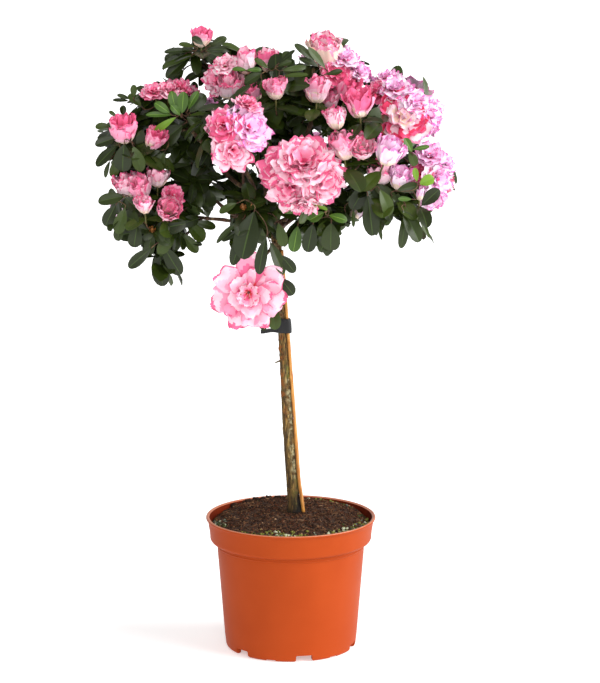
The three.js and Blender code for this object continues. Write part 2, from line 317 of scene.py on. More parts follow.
def make_effects() -> None:
    """Builds the node groups that the finishes share: patches, and streaks drawn out upwards."""
    for name, stretch in (("patches", (1, 1, 1)), ("streaks", (1, 1, 0.12))):
        tree = bpy.data.node_groups.new(name, "ShaderNodeTree")
        for label, usual in (("Scale", 50.0), ("Low", 0.4), ("High", 0.6), ("Detail", 4.0)):
            socket = tree.interface.new_socket(label, in_out="INPUT", socket_type="NodeSocketFloat")
            socket.default_value = usual
        tree.interface.new_socket("Value", in_out="OUTPUT", socket_type="NodeSocketFloat")
        wiring = Wiring(tree)
        given = tree.nodes.new("NodeGroupInput").outputs
        place = wiring.node("TexCoord").outputs["Object"]
        place = wiring.node("Mapping", Vector=place, Scale=stretch).outputs["Vector"]
        field = wiring.node("TexNoise", Vector=place, Scale=given["Scale"], Detail=given["Detail"])
        limits = {"From_Min": given["Low"], "From_Max": given["High"]}
        ranged = wiring.node("MapRange", Value=field.outputs["Fac"], **limits)
        out = tree.nodes.new("NodeGroupOutput")
        wiring.feed(out.inputs["Value"], ranged.outputs["Result"])


@dataclass(frozen=True)
class Plain:
    """A finish of one colour, for leaves and petals whose colours are dealt out face by face."""

    name: str
    colour: Colour
    roughness: float = 0.5
    gloss: float = 0.5

    def material(self) -> Material:
        """The finish as a Blender material.

        Returns:
            The material.
        """
        made = bpy.data.materials.new(self.name)
        made.use_nodes = True
        shader = made.node_tree.nodes["Principled BSDF"].inputs
        shader["Base Color"].default_value = made.diffuse_color = shade(self.colour)
        shader["Specular IOR Level"].default_value = self.gloss
        shader["Roughness"].default_value = self.roughness
        return made


def petal(name: str, *colour: int) -> Plain:
    """A petal's finish, which is matt."""
    return Plain(f"petal_{name}", colour, 0.6)


@dataclass(frozen=True)
class Layer:
    """A second colour laid over a finish through a patchy or streaky mask."""

    effect: str
    colour: Colour
    scale: float
    low: float
    high: float
    detail: float = 4.0
    where: str = ""


@dataclass(frozen=True)
class Patterned(Plain):
    """A finish whose colour, gloss and fine relief change over the surface."""

    layers: tuple[Layer, ...] = ()
    rougher: float = 0.6
    relief: tuple[str, float, float] = ("patches", 1200, 0.00002)

    def material(self) -> Material:
        """The finish as a Blender material, with its layers and its relief wired in.

        Returns:
            The material.
        """
        made = super().material()
        wiring = Wiring(made.node_tree)
        shader = made.node_tree.nodes["Principled BSDF"].inputs
        colour, mask = shade(self.colour), None
        for layer in self.layers:
            ranges = (layer.scale, layer.low, layer.high, layer.detail)
            mask = wiring.value(layer.effect, *ranges)
            if layer.where:
                place = wiring.node("Attribute", attribute_name=layer.where).outputs["Fac"]
                mask = wiring.value("Math", mask, place, operation="MULTIPLY")
            blended = wiring.node("Mix", data_type="RGBA")
            for number, value in ((0, mask), (6, colour), (7, shade(layer.colour))):
                wiring.feed(blended.inputs[number], value)
            colour = blended.outputs[2]
        wiring.feed(shader["Base Color"], colour)
        gloss = wiring.node("MapRange", Value=mask, To_Min=self.roughness, To_Max=self.rougher)
        wiring.feed(shader["Roughness"], gloss.outputs["Result"])
        effect, scale, height = self.relief
        field = wiring.value(effect, scale, 0.2, 0.8, 6.0)
        bump = wiring.node("Bump", Height=field, Distance=height)
        wiring.feed(shader["Normal"], bump.outputs["Normal"])
        return made


class Leafage(Enum):
    """The greens that leaves and shoots are dealt from."""

    DEEP = Plain("leaf_deep", (32, 42, 12), 0.34, 0.32)
    DARK = Plain("leaf_dark", (41, 53, 14), 0.34, 0.32)
    MIDDLE = Plain("leaf_middle", (55, 70, 20), 0.34, 0.3)
    LIGHT = Plain("leaf_light", (64, 94, 26), 0.4, 0.35)
    FRESH = Plain("leaf_fresh", (108, 146, 36), 0.4, 0.35)
    RIB = Plain("leaf_rib", (58, 76, 30), 0.5, 0.3)
    RIB_FRESH = Plain("leaf_rib_fresh", (112, 146, 56), 0.5, 0.3)
    UNDER = Plain("leaf_under", (60, 76, 36), 0.6, 0.2)
    UNDER_FRESH = Plain("leaf_under_fresh", (116, 146, 64), 0.6, 0.2)


class Pink(Enum):
    """The petal colours, from cream to crimson and on to lilac, and a flower's other parts."""

    CREAM = petal("cream", 252, 224, 206)
    BLUSH = petal("blush", 250, 222, 229)
    PALE = petal("pale", 250, 210, 223)
    SOFT = petal("soft", 249, 190, 210)
    ROSE = petal("rose", 246, 158, 189)
    DEEP = petal("deep", 240, 104, 150)
    RED = petal("red", 230, 58, 102)
    MIST = petal("mist", 250, 227, 243)
    LILAC = petal("lilac", 249, 206, 236)
    ORCHID = petal("orchid", 240, 134, 200)
    THROAT = petal("throat", 236, 92, 96)
    SEPAL = Plain("sepal", (128, 132, 56))
    STALK = Plain("flower_stalk", (96, 92, 44), 0.55)
    SCALE = Plain("bud_scale", (150, 96, 46))
    STAMEN = Plain("stamen", (255, 214, 214))
    ANTHER = Plain("anther", (160, 92, 62), 0.6)


class Wood(Enum):
    """The finishes of the stem, the twigs and the cane."""

    BARK = Patterned(
        "bark", (104, 80, 42), 0.85, 0.25,
        (
            Layer("streaks", (66, 50, 30), 560, 0.42, 0.6),
            Layer("streaks", (156, 124, 68), 460, 0.55, 0.66),
            Layer("patches", (138, 80, 34), 170, 0.46, 0.6, 6, "reddish"),
            Layer("patches", (168, 160, 122), 240, 0.44, 0.6, 8, "lichen"),
            Layer("patches", (82, 94, 30), 200, 0.42, 0.6, 8, "moss"),
            Layer("streaks", (46, 35, 22), 900, 0.54, 0.66),
            Layer("patches", (44, 34, 22), 420, 0.6, 0.7, 8),
            # Near-black at the foot: soil stain all round, and painted shade in the hollow towards
            # the cane.
            Layer("patches", (22, 18, 14), 300, 0.1, 0.2, 6, "soiled_and_shaded"),
        ),
        0.95, ("streaks", 900, 0.0004),
    )
    BOUGH = Patterned(
        "bough_bark", (92, 62, 42), 0.7, 0.4,
        (
            Layer("streaks", (62, 42, 32), 600, 0.42, 0.62),
            Layer("patches", (128, 108, 74), 160, 0.55, 0.7),
        ),
        0.85, ("streaks", 900, 0.0003),
    )
    CANE = Patterned(
        "cane", (194, 132, 58), 0.42, 0.4,
        (
            Layer("streaks", (160, 94, 32), 700, 0.45, 0.62),
            Layer("streaks", (222, 164, 86), 460, 0.55, 0.7),
        ),
        0.55, ("streaks", 1400, 0.00008),
    )


class Stuff(Enum):
    """The finishes of the pot, the compost and the tie."""

    PLASTIC = Patterned(
        "terracotta_plastic", (165, 65, 21), 0.48, 0.08,
        (Layer("patches", (160, 62, 19), 22, 0.35, 0.65, 2),), 0.52,
    )
    # The same plastic made darker for the inner wall above the shoulder: painted shade.
    PLASTIC_INSIDE = Patterned(
        "terracotta_inside_shade", (112, 38, 16), 0.5, 0.05,
        (Layer("patches", (94, 30, 14), 40, 0.35, 0.65, 3),), 0.6,
    )
    # The same plastic, paler and glossier, for the top of the lip: a painted highlight.
    PLASTIC_LIP = Patterned(
        "terracotta_lip_highlight", (196, 118, 84), 0.3, 0.6,
        (Layer("patches", (182, 94, 58), 60, 0.45, 0.7, 3),), 0.4,
    )
    PEAT = Patterned(
        "peat", (48, 28, 14), 0.9, 0.4,
        (
            Layer("patches", (76, 48, 30), 420, 0.42, 0.62, 8),
            Layer("patches", (102, 70, 46), 900, 0.6, 0.72, 6),
        ),
        1.0, ("patches", 900, 0.0012),
    )
    TIE = Patterned(
        "tie_plastic", (15, 15, 17), 0.5, 0.4,
        (Layer("patches", (30, 29, 32), 180, 0.5, 0.7),), 0.62, ("patches", 1200, 0.00008),
    )


class Crumb(Enum):
    """The finishes of what lies loose on the compost."""

    DARK = Plain("crumb_dark", (38, 22, 13), 0.95, 0.2)
    BROWN = Plain("crumb_brown", (64, 39, 24), 0.95, 0.2)
    RED = Plain("crumb_red", (86, 48, 29), 0.9, 0.2)
    TAN = Plain("crumb_tan", (112, 80, 54), 0.9, 0.2)
    PALE = Plain("crumb_pale", (160, 124, 94), 0.9, 0.2)
    MOSS = Plain("moss", (112, 112, 50), 0.95, 0.2)
    MOSS_DARK = Plain("moss_dark", (54, 62, 30), 0.95, 0.2)
    GRIT = Plain("grit", (176, 178, 150), 0.85, 0.2)
    SLATE = Plain("grit_dark", (98, 106, 92), 0.85, 0.2)


def palette(choices: type[Enum]) -> list[Material]:
    """The materials of every finish in an Enum, in its order, each made once."""
    found = [bpy.data.materials.get(choice.value.name) for choice in choices]
    return [made or choice.value.material() for made, choice in zip(found, choices)]


def place_of(choice: Enum) -> int:
    """A finish's place among the slots of its palette."""
    return list(type(choice)).index(choice)


# ---- Reading the frame's limbs and masses ----
@dataclass
class Limb:
    """The middle line and radii of a stem, bough or cane."""

    path: Array
    radii: Array

    @classmethod
    def of(cls, node: str, near: Array, steps: int, degree: int = 2) -> "Limb":
        """Reads a limb from a node of the frame.

        Args:
            node: The node's name.
            near: A place beyond the end that the limb starts from.
            steps: Places along the limb.
            degree: Degree of the curve that the middle line follows.

        Returns:
            The limb, from the end near that place.
        """
        corners = np.array([v.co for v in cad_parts[node].data.vertices], float)
        start = corners[np.argmin(gap(corners, near))]
        chord = corners[np.argmax(gap(corners, start))] - start
        share = (corners - start) @ chord / (chord @ chord)
        curve = [np.polyfit(share, corners[:, axis], degree) for axis in range(3)]
        middle = np.stack([np.polyval(part, share) for part in curve], -1)
        girth = np.polyfit(share, gap(corners, middle), 1)
        along = np.linspace(share.min(), share.max(), steps)
        path = np.stack([np.polyval(part, along) for part in curve], -1)
        return cls(path, np.maximum(np.polyval(girth, along), 0.6 * MM))

    def at(self, height: Array | float) -> Array:
        """The middle of an upright limb at a height, or at each of several."""
        return np.stack([np.interp(height, self.path[:, 2], self.path[:, a]) for a in range(3)], -1)


@dataclass
class Mass:
    """One foliage solid of the frame, as something to aim shoots at."""

    name: str
    middle: Array
    surface: BVHTree

    @classmethod
    def of(cls, node: str) -> "Mass":
        """Reads a mass from a node of the frame.

        Args:
            node: The node's name.

        Returns:
            The mass.
        """
        low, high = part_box(node)
        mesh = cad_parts[node].data
        faces = [tuple(face.vertices) for face in mesh.polygons]
        surface = BVHTree.FromPolygons([v.co.copy() for v in mesh.vertices], faces)
        return cls(node.removeprefix("foliage_"), np.array((low + high) / 2), surface)

    def skin(self, towards: Array) -> Pair:
        """The place where a direction from the middle leaves the mass, and the face's normal.

        Args:
            towards: The direction.

        Returns:
            The place, and the normal turned outwards.
        """
        place, normal, _, _ = self.surface.ray_cast(Vector(self.middle), Vector(towards))
        if place is None:
            return self.middle, towards
        outwards = np.array(normal)
        return np.array(place), outwards if outwards @ towards > 0 else -outwards

    def depth(self, place: Array) -> float:
        """How far a place lies under the mass's skin; below nought outside it."""
        near, normal, _, away = self.surface.find_nearest(Vector(place))
        return away if (np.array(near) - place) @ np.array(normal) > 0 else -away


# ---- Studio ----
@dataclass
class Studio:
    """Camera, soft lights, pale world and pale floor."""

    pitch: float = math.radians(11.172)
    lens: float = 162.5
    reach: float = 30.0
    white: tuple[float, ...] = (1.0, 1.0, 1.0, 1.0)

    def build(self) -> None:
        """Builds the whole studio."""
        self.camera()
        self.light("key", (0.85, -0.28, 0.47), 3.6, 50)
        self.light("front", (-0.05, -0.90, 0.42), 1.0, 35)
        self.world()
        self.floor()
        bpy.context.scene.view_settings.view_transform = "Standard"

    def camera(self) -> None:
        """Sets the camera in front of the plant, looking a little down."""
        lens = bpy.data.cameras.new("camera")
        lens.lens = self.lens
        lens.clip_start, lens.clip_end = 0.05, 50
        bpy.context.scene.camera = made = put("camera", lens)
        made.location = tuple(EYE)
        made.rotation_euler = (math.pi / 2 - self.pitch, 0, 0)

    def light(self, name: str, source: tuple[float, ...], power: float, spread: float) -> None:
        """Adds a distant soft light, which falls evenly on the plant and the floor.

        Args:
            name: The light's name.
            source: The direction that it comes from.
            power: Its strength.
            spread: Its breadth as seen from the plant, in degrees.
        """
        lamp = bpy.data.lights.new(name, "SUN")
        lamp.energy, lamp.angle = power, math.radians(spread)
        made = put(name, lamp)
        made.location = source
        made.rotation_mode = "QUATERNION"
        made.rotation_quaternion = (-Vector(source)).to_track_quat("-Z", "Y")

    def world(self) -> None:
        """Gives the studio its pale surroundings, brighter behind the plant than on it."""
        bpy.context.scene.world = made = bpy.data.worlds.new("studio")
        made.use_nodes = True
        wiring = Wiring(made.node_tree)
        camera_ray = wiring.node("LightPath").outputs["Is Camera Ray"]
        strength = wiring.node("MapRange", Value=camera_ray, To_Min=0.5, To_Max=1.0)
        backdrop = made.node_tree.nodes["Background"].inputs
        backdrop["Color"].default_value = self.white
        wiring.feed(backdrop["Strength"], strength.outputs["Result"])

    def floor(self) -> None:
        """Lays the floor that the pot stands on."""
        mesh = bpy.data.meshes.new("floor")
        near, far = -self.reach, self.reach
        corners = [(near, near, 0), (far, near, 0), (far, far, 0), (near, far, 0)]
        mesh.from_pydata(corners, [], [(0, 1, 2, 3)])
        finish = Plain("floor", (252, 252, 252), 0.9).material()
        shader = finish.node_tree.nodes["Principled BSDF"].inputs
        shader["Emission Color"].default_value = self.white
        shader["Emission Strength"].default_value = 0.4
        mesh.materials.append(finish)
        made = put("floor", mesh)


# ---- Pot ----
@dataclass
class Pot:
    """The moulded pot: a tapered wall, a deep rim band, a rolled lip and a notched foot."""

    lip: float = 2.8 * MM
    band_top: float = 83.2 * MM
    band_foot: float = 80.9 * MM
    band_height: float = 112 * MM
    shoulder: float = 73.8 * MM
    shoulder_height: float = 103 * MM
    foot: float = 65.5 * MM
    foot_round: float = 4.0 * MM
    wall: float = 1.6 * MM
    floor: float = 6.0 * MM
    segments: int = 240
    notches: int = 6
    first_notch: float = math.radians(-78)
    cut: tuple[float, float] = (50 * MM, 72 * MM)

    def arc(self, middle: tuple, radius: float, start: float, end: float, steps: int) -> list:
        """Points on an arc of the profile.

        Args:
            middle: The arc's centre, as radius and height.
            radius: The arc's own radius.
            start: First angle in degrees, from outwards, turning up.
            end: Last angle.
            steps: Points less one.

        Returns:
            The points, as radius and height.
        """
        angles = [math.radians(mix(start, end, i / steps)) for i in range(steps + 1)]
        out, up = middle
        return [(out + radius * math.cos(a), up + radius * math.sin(a)) for a in angles]

    def profile(self) -> list[tuple[float, float]]:
        """The pot's section, up the outside, over the lip and down the inside to the middle.

        Returns:
            Points, as radius and height.
        """
        _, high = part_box("pot")
        rim, top, roll = high.x, high.z, self.lip / 2
        heel = self.foot - self.foot_round
        lean = (self.shoulder - self.foot) / self.shoulder_height
        step = self.shoulder_height + 4.4 * MM
        slope = [k / 5 for k in range(1, 6)]
        return [
            (heel - self.wall, 0.0),
            *self.arc((heel, self.foot_round), self.foot_round, -90, -4, 8),
            *((self.foot + lean * h, h) for h in np.linspace(self.foot_round, 0.099, 12)[1:]),
            (self.shoulder - 0.4 * MM, step - 4 * MM),
            *self.arc((self.shoulder + 0.1 * MM, step - 2.6 * MM), 0.7 * MM, -60, 60, 5),
            (self.shoulder + 0.5 * MM, step),
            *self.arc((self.band_foot - 4.5 * MM, step + 5.5 * MM), 4.5 * MM, -80, -8, 7),
            (self.band_foot, self.band_height + 2 * MM),
            *((mix(self.band_foot, self.band_top, s), mix(0.116, top - self.lip - 1 * MM, s))
              for s in slope),
            *self.arc((rim - roll, top - self.lip + roll * 0.9), roll, -80, 100, 10),
            (self.band_top - self.wall, top - 1.2 * MM),
            (self.band_foot - self.wall, self.band_height + self.wall),
            (self.shoulder - self.wall, step),
            (self.foot + lean * self.floor - self.wall, self.floor + self.wall),
            (0.0005, self.floor + self.wall),
            (0.0005, self.floor),
            (heel - self.wall, self.floor),
        ]

    def notch(self, width: float, height: float, turn: float) -> tuple[list, list]:
        """A block that cuts one foot notch, flared where it meets the foot.

        Args:
            width: The notch's width at its roof.
            height: Its height.
            turn: Its angle about the pot's axis.

        Returns:
            The block's points and faces.
        """
        half, flare, curl = width / 2, min(2.6 * MM, height * 0.6), 1.2 * MM
        side = [(half + flare * (1 - math.sin(a)), flare * (1 - math.cos(a)))
                for a in np.linspace(0, math.pi / 2, 6)]
        roof = [(half - curl * (1 - math.cos(a)), height - curl * (1 - math.sin(a)))
                for a in np.linspace(0, math.pi / 2, 4)]
        right = [(half + flare, -1 * MM), *side, *(roof if height > 3 * MM else [(half, height)])]
        outline = right + [(-y, z) for y, z in reversed(right)]
        count = len(outline)
        faces = [tuple(reversed(range(count))), tuple(range(count, 2 * count))]
        faces += [(i, (i + 1) % count, (i + 1) % count + count, i + count) for i in range(count)]
        spin = Matrix.Rotation(turn, 3, "Z")
        return [tuple(spin @ Vector((x, y, z))) for x in self.cut for y, z in outline], faces

    def cutter(self) -> Thing:
        """Every notch block, deep ones and shallow ones by turns, as one object.

        Returns:
            The object.
        """
        step = TAU / self.notches
        corners, sides = [], []
        for i in range(self.notches):
            turn = self.first_notch + i * step
            for size in ((16.5 * MM, 6.8 * MM, turn), (10 * MM, 1.7 * MM, turn + step / 2)):
                points, faces = self.notch(*size)
                sides += [tuple(c + len(corners) for c in face) for face in faces]
                corners += points
        mesh = bpy.data.meshes.new("notches")
        mesh.from_pydata(corners, [], sides)
        return put("notches", mesh)

    def build(self) -> None:
        """Turns the profile round, cuts the foot and dresses the pot."""
        profile = np.array(self.profile())
        angle, first = ring(self.segments), np.arange(self.segments)
        radius, height = profile[:, :1], profile[:, 1:]
        flat = np.broadcast_to(height, (len(profile), self.segments))
        rings = np.stack([radius * np.cos(angle), radius * np.sin(angle), flat], -1)
        shape = Gathering()
        shape.add(rings.reshape(-1, 3), quads(len(profile), self.segments, closed=True))
        last = (len(profile) - 1) * self.segments + first
        seam = np.stack([last, np.roll(last, -1), np.roll(first, -1), first], -1)
        shape.add(np.zeros((0, 3)), seam - shape.count)
        made = shape.piece("pot_shell", palette(Stuff)[:3])
        cutter = self.cutter()
        change = made.modifiers.new("notch", "BOOLEAN")
        change.object, change.solver = cutter, "EXACT"
        bpy.context.view_layer.update()
        final = made.evaluated_get(bpy.context.evaluated_depsgraph_get())
        settled = bpy.data.meshes.new_from_object(final)
        made.modifiers.clear()
        made.data = settled
        bpy.data.objects.remove(cutter)
        rolled = float(height.max()) - 0.7 * self.lip
        for face in settled.polygons:
            place, normal = face.center, face.normal
            inside = place.x * normal.x + place.y * normal.y < 0
            # Inward faces above the shoulder take the darker copy of the plastic: painted shade on
            # the inner wall.
            face.material_index = int(inside and place.z > self.shoulder_height)
            # Upward faces of the rolled lip take the paler copy: a painted highlight along the rim.
            if normal.z > 0.5 and place.z > rolled:
                face.material_index = 2
        settled.shade_smooth()
        settled.set_sharp_from_angle(angle=math.radians(38))
        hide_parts("pot")


# ---- Compost ----
@dataclass
class Compost:
    """The heaped peat, its loose crumbs and fibres, and the moss and grit at its edge.

    Each row of edging is a middle angle and its spread in degrees, how many crumbs, and the odds
    of moss, dark moss, grit and slate.
    """

    crumbs: int = 3600
    clods: int = 46
    fibres: int = 900
    edging: tuple = (
        (-166, 9, 90, (2, 3, 3, 4)),
        (-98, 13, 120, (5, 3, 1.5, 1)),
        (-22, 9, 110, (2, 3, 2, 4)),
        (-48, 9, 50, (3, 3, 1, 1)),
        (60, 40, 60, (2, 3, 0.3, 0.4)),
    )
    reach: float = 79.6 * MM

    def __post_init__(self) -> None:
        """Reads the top of the heap from the frame, and seeds the heap's own chance."""
        self.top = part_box("compost")[1].z
        self.chance = random.Random(7)
        self.shape = Gathering()

    def height(self, x: Array, y: Array) -> Array:
        """Height of the heap over each place.

        Args:
            x: Places along X.
            y: Places along Y.

        Returns:
            The heights.
        """
        share, sideways = np.hypot(x, y) / self.reach, np.abs(x) / self.reach
        fall = 5.5 * MM * share**2.2 + 7 * MM * sideways**4
        uneven = lumps(np.stack([x, y, 0 * x], -1).reshape(-1, 3), 14 * MM, 5).reshape(x.shape)
        return self.top - 0.6 * MM - fall + 1.3 * MM * uneven

    def heap(self) -> None:
        """Builds the heap's own surface."""
        share = np.sqrt(np.linspace(0.0004, 1, 84))[:, None] * self.reach
        angle = ring(190)[None, :]
        x, y = share * np.cos(angle), share * np.sin(angle)
        z = self.height(x, y)
        z[-1] -= 6 * MM
        shape = Gathering()
        shape.add(np.stack([x, y, z], -1).reshape(-1, 3), quads(*x.shape, closed=True))
        made = shape.piece("compost_heap", [Stuff.PEAT.value.material()])
        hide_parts("compost")

    def pebble(self) -> Pair:
        """An uneven crumb about one metre across, with its faces.

        Returns:
            Its points and faces.
        """
        angle, faces = np.arange(5) * TAU / 5, []
        low = np.stack([np.cos(angle), np.sin(angle), 0 * angle - 0.35], -1)
        high = np.stack([np.cos(angle + 0.6), np.sin(angle + 0.6), 0 * angle + 0.35], -1)
        points = np.vstack([[0, 0, -0.8], low, high, [0, 0, 0.8]])
        points *= np.array([[self.chance.uniform(0.3, 0.62)] for _ in points])
        for i in range(1, 6):
            j = i % 5 + 1
            faces += [(0, j, i), (i, j, 5 + i), (j, 5 + j, 5 + i), (5 + i, 5 + j, 11)]
        return points, np.array(faces)

    def crumb(self, turn: float, out: float, size: float, kind: Crumb) -> None:
        """Drops one crumb on the heap.

        Args:
            turn: Its angle about the pot's axis.
            out: Its distance from the axis.
            size: Its breadth.
            kind: Its finish.
        """
        points, faces = self.pebble()
        x, y = out * math.cos(turn), out * math.sin(turn)
        z = float(self.height(np.array([x]), np.array([y]))[0]) + size * 0.08
        angle = self.chance.uniform(0, 6.3)
        spin = Matrix.Rotation(angle, 3, Vector(scatter(self.chance)).normalized())
        self.shape.add(points @ np.array(spin).T * size + [x, y, z], faces, place_of(kind))

    def fibre(self) -> None:
        """Lays one short fibre on the heap, unless it would reach over the edge."""
        chance = self.chance
        turn, out = chance.uniform(0, 6.3), self.reach * math.sqrt(chance.uniform(0, 0.95))
        foot = np.array([out * math.cos(turn), out * math.sin(turn), 0.0])
        heading = chance.uniform(0, 6.3)
        way = np.array([math.cos(heading), math.sin(heading), 0])
        side = np.array([-way[1], way[0], 0])
        length, bend = chance.uniform(3, 9) * MM, chance.uniform(-2, 2) * MM
        path = np.array([foot + way * length * s + side * bend * s * s for s in (0, 0.5, 1)])
        if (np.hypot(path[:, 0], path[:, 1]) >= self.reach).any():
            return
        path[:, 2] = self.height(path[:, 0], path[:, 1]) + chance.uniform(0.3, 1.1) * MM
        kinds = (Crumb.RED, Crumb.BROWN, Crumb.TAN, Crumb.PALE)
        kind = chance.choices(kinds, (5, 5, 5, 0.6))[0]
        radii = np.full(3, chance.uniform(0.12, 0.3) * MM)
        self.shape.add(*tube(path, radii, 4), place_of(kind))

    def build(self) -> None:
        """Builds the heap, and scatters crumbs, clods, edging and fibres over it."""
        self.heap()
        chance, kinds = self.chance, list(Crumb)
        for _ in range(self.crumbs):
            out = self.reach * math.sqrt(chance.uniform(0, 1)) * 0.99
            kind = chance.choices(kinds[:5], (26, 34, 20, 7, 0.6))[0]
            size = chance.triangular(0.7, 3.4, 0.9) * MM
            self.crumb(chance.uniform(-math.pi, math.pi), out, size, kind)
        for _ in range(self.clods):
            turn = math.radians(chance.uniform(88, 142))
            out = self.reach * chance.uniform(0.9, 0.99)
            self.crumb(turn, out, chance.uniform(3, 7.5) * MM, chance.choice(kinds[:2]))
        for middle, spread, count, odds in self.edging:
            for _ in range(count):
                turn = math.radians(chance.gauss(middle, spread))
                out = self.reach * min(0.985, 1.0 - abs(chance.gauss(0, 0.07)))
                kind = chance.choices(kinds[5:], odds)[0]
                self.crumb(turn, out, chance.triangular(1.2, 5.0, 1.6) * MM, kind)
        for _ in range(self.fibres):
            self.fibre()
        made = self.shape.piece("compost_crumbs", palette(Crumb))


# ---- Stem, boughs, cane and tie ----
@dataclass
class Framework:
    """The bare stem with its bark, and the boughs that leave it.

    Each knob is an old bud scar: how far up the stem, its angle in radians, and its size.
    """

    stem_sides: int = 56
    stem_rings: int = 380
    bough_sides: int = 12
    bough_rings: int = 26
    knobs: tuple = (
        (0.05, 3.4, 1.5), (0.2, 0.4, 1.0), (0.42, 2.9, 1.2),
        (0.57, 3.3, 1.3), (0.72, 5.2, 1.1), (0.86, 1.2, 1.4),
    )

    def __post_init__(self) -> None:
        """Reads the limbs from the frame."""
        low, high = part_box("stem")
        foot = np.array([(low.x + high.x) / 2, 0, 0])
        self.stem = Limb.of("stem", foot, self.stem_rings, 3)
        self.foot, self.top = self.stem.path[0], self.stem.path[-1]
        names = sorted(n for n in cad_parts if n.startswith("bough_"))
        self.boughs = {n: Limb.of(n, self.top, self.bough_rings) for n in names}

    def stem_shape(self) -> Pair:
        """The stem's points and faces, with fissures, flakes, bud scars and two swellings.

        Returns:
            The points and faces.
        """
        path, radii = self.stem.path.copy(), self.stem.radii.copy()
        length = self.top[2] - self.foot[2]
        above = (path[:, 2] - self.foot[2]) / length
        radii += 2.2 * MM * np.exp(-above * length / (6 * MM))
        radii += 1.5 * MM * np.exp(-(((above - 0.965) * length / (9 * MM)) ** 2))
        radii += 0.35 * MM
        path[:, 0] += 0.5 * MM * np.sin(above * math.pi) + 0.15 * MM * np.sin(above * 15)
        points, faces = tube(path, radii, self.stem_sides)
        grid = (self.stem_rings, self.stem_sides)
        body = points.reshape(*grid, 3)
        outwards = body - path[:, None, :]
        outwards /= np.linalg.norm(outwards, axis=2, keepdims=True)
        flat = body.reshape(-1, 3)
        fissures = lumps(flat * [1, 1, 0.16], 2.6 * MM)
        flakes = lumps(flat * [1, 1, 0.5], 4.5 * MM)
        relief = 0.5 * MM * -np.abs(fissures) + 0.22 * MM * lumps(flat, 16 * MM, 2)
        relief += 0.3 * MM * np.clip(flakes - 0.18, 0, 0.4) / 0.4
        for share, turn, size in self.knobs:
            knob = body[int(share * self.stem_rings), int(turn / TAU * self.stem_sides)]
            away = gap(flat, knob)
            relief += 0.6 * size * MM * np.exp(-((away / (2.2 * MM)) ** 2))
        body += outwards * relief.reshape(*grid, 1)
        return body.reshape(-1, 3), faces

    def spur(self, share: float, turn: float, length: float) -> Pair:
        """A dead twig stub on the stem.

        Args:
            share: How far up the stem it stands.
            turn: Its angle about the stem, in radians.
            length: Its length.

        Returns:
            Its points and faces.
        """
        foot = self.stem.path[int(share * (self.stem_rings - 1))]
        way, reach = unit(np.array([math.cos(turn), math.sin(turn), -0.45])), self.stem.radii[0]
        path = np.array([foot + way * s for s in np.linspace(reach * 0.5, reach + length, 5)])
        return tube(path, np.array([1.1, 0.9, 0.75, 0.7, 0.4]) * MM, 8)

    def bough_path(self, limb: Limb) -> Pair:
        """A bough's middle line and radii, carried back into the stem and made uneven.

        Args:
            limb: The bough as the frame has it.

        Returns:
            The longer middle line and its radii.
        """
        near = self.stem.path[np.argmin(gap(self.stem.path, limb.path[0]))]
        path = np.vstack([np.linspace(near, limb.path[0], 4)[:-1], limb.path])
        wander = np.stack([lumps(path + shift, 24 * MM, 2) for shift in (0.0, 1.0, 2.0)], -1)
        ease = np.sin(np.linspace(0, math.pi, len(path)))[:, None]
        radii = np.concatenate([np.full(3, limb.radii[0] * 1.25), limb.radii])
        return path + wander * ease * 3 * MM, radii * (1 + 0.14 * lumps(path, 7 * MM, 2))

    def weather(self, made: Thing) -> None:
        """Notes on each point how far lichen, moss, soil stain, painted shade and reddish bark
        spread over it.

        Args:
            made: The barked piece.
        """
        points = np.array([v.co for v in made.data.vertices])
        off = points - self.stem.at(points[:, 2])
        turn = np.arctan2(off[:, 1], off[:, 0])
        up = (points[:, 2] - self.foot[2]) / (self.top[2] - self.foot[2])

        def spot(middle: float, width: float, low: float, high: float) -> Array:
            """One where a band of the stem's side lies between two heights, fading at its edges.

            Args:
                middle: The band's angle about the stem.
                width: Its breadth, in radians.
                low: Its foot, as a share of the stem.
                high: Its top.

            Returns:
                A value for each point.
            """
            aside = np.abs(np.remainder(turn - middle + math.pi, TAU) - math.pi)
            ends = smooth_step((up - low) / 0.04) * smooth_step((high - up) / 0.04)
            return np.exp(-((aside / width) ** 2)) * ends

        fields = {
            "lichen": spot(-0.95, 0.5, 0.1, 0.52) + 0.5 * spot(-1.4, 0.4, 0.7, 0.98)
            + spot(1.9, 0.6, 0.2, 0.8) + 0.5 * spot(-2.2, 0.6, 0.6, 0.95),
            "moss": spot(-0.9, 0.55, 0.44, 0.55) + 0.55 * spot(-0.7, 0.8, -0.1, 0.14)
            + 0.8 * spot(2.6, 0.7, 0.3, 0.6),
            # Soil stain round the foot, and painted shade in the hollow at the foot's right front,
            # towards the cane.
            "soiled_and_shaded": 1.5 * spot(-0.35, 0.8, -0.1, 0.085) + 0.8 * smooth_step((0.03 - up) / 0.03),
            "reddish": spot(-2.4, 0.9, 0.3, 0.92) + spot(0.8, 0.8, 0.5, 0.9),
        }
        for name, values in fields.items():
            layer = made.data.attributes.new(name, "FLOAT", "POINT")
            layer.data.foreach_set("value", np.clip(values, 0, 1).astype(np.float32))

    def build(self) -> None:
        """Builds the stem and the boughs as one barked piece."""
        shape = Gathering()
        shape.add(*self.stem_shape(), 0)
        shape.add(*self.spur(0.535, math.pi * 0.97, 4.5 * MM), 0)
        shape.add(*self.spur(0.655, math.pi * 1.05, 1.5 * MM), 0)
        for limb in self.boughs.values():
            limb.path, limb.radii = self.bough_path(limb)
            shape.add(*tube(limb.path, limb.radii, self.bough_sides), 1)
        barks = [Wood.BARK.value.material(), Wood.BOUGH.value.material()]
        made = shape.piece("stem_and_boughs", barks)
        self.weather(made)
        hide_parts("stem", *self.boughs)


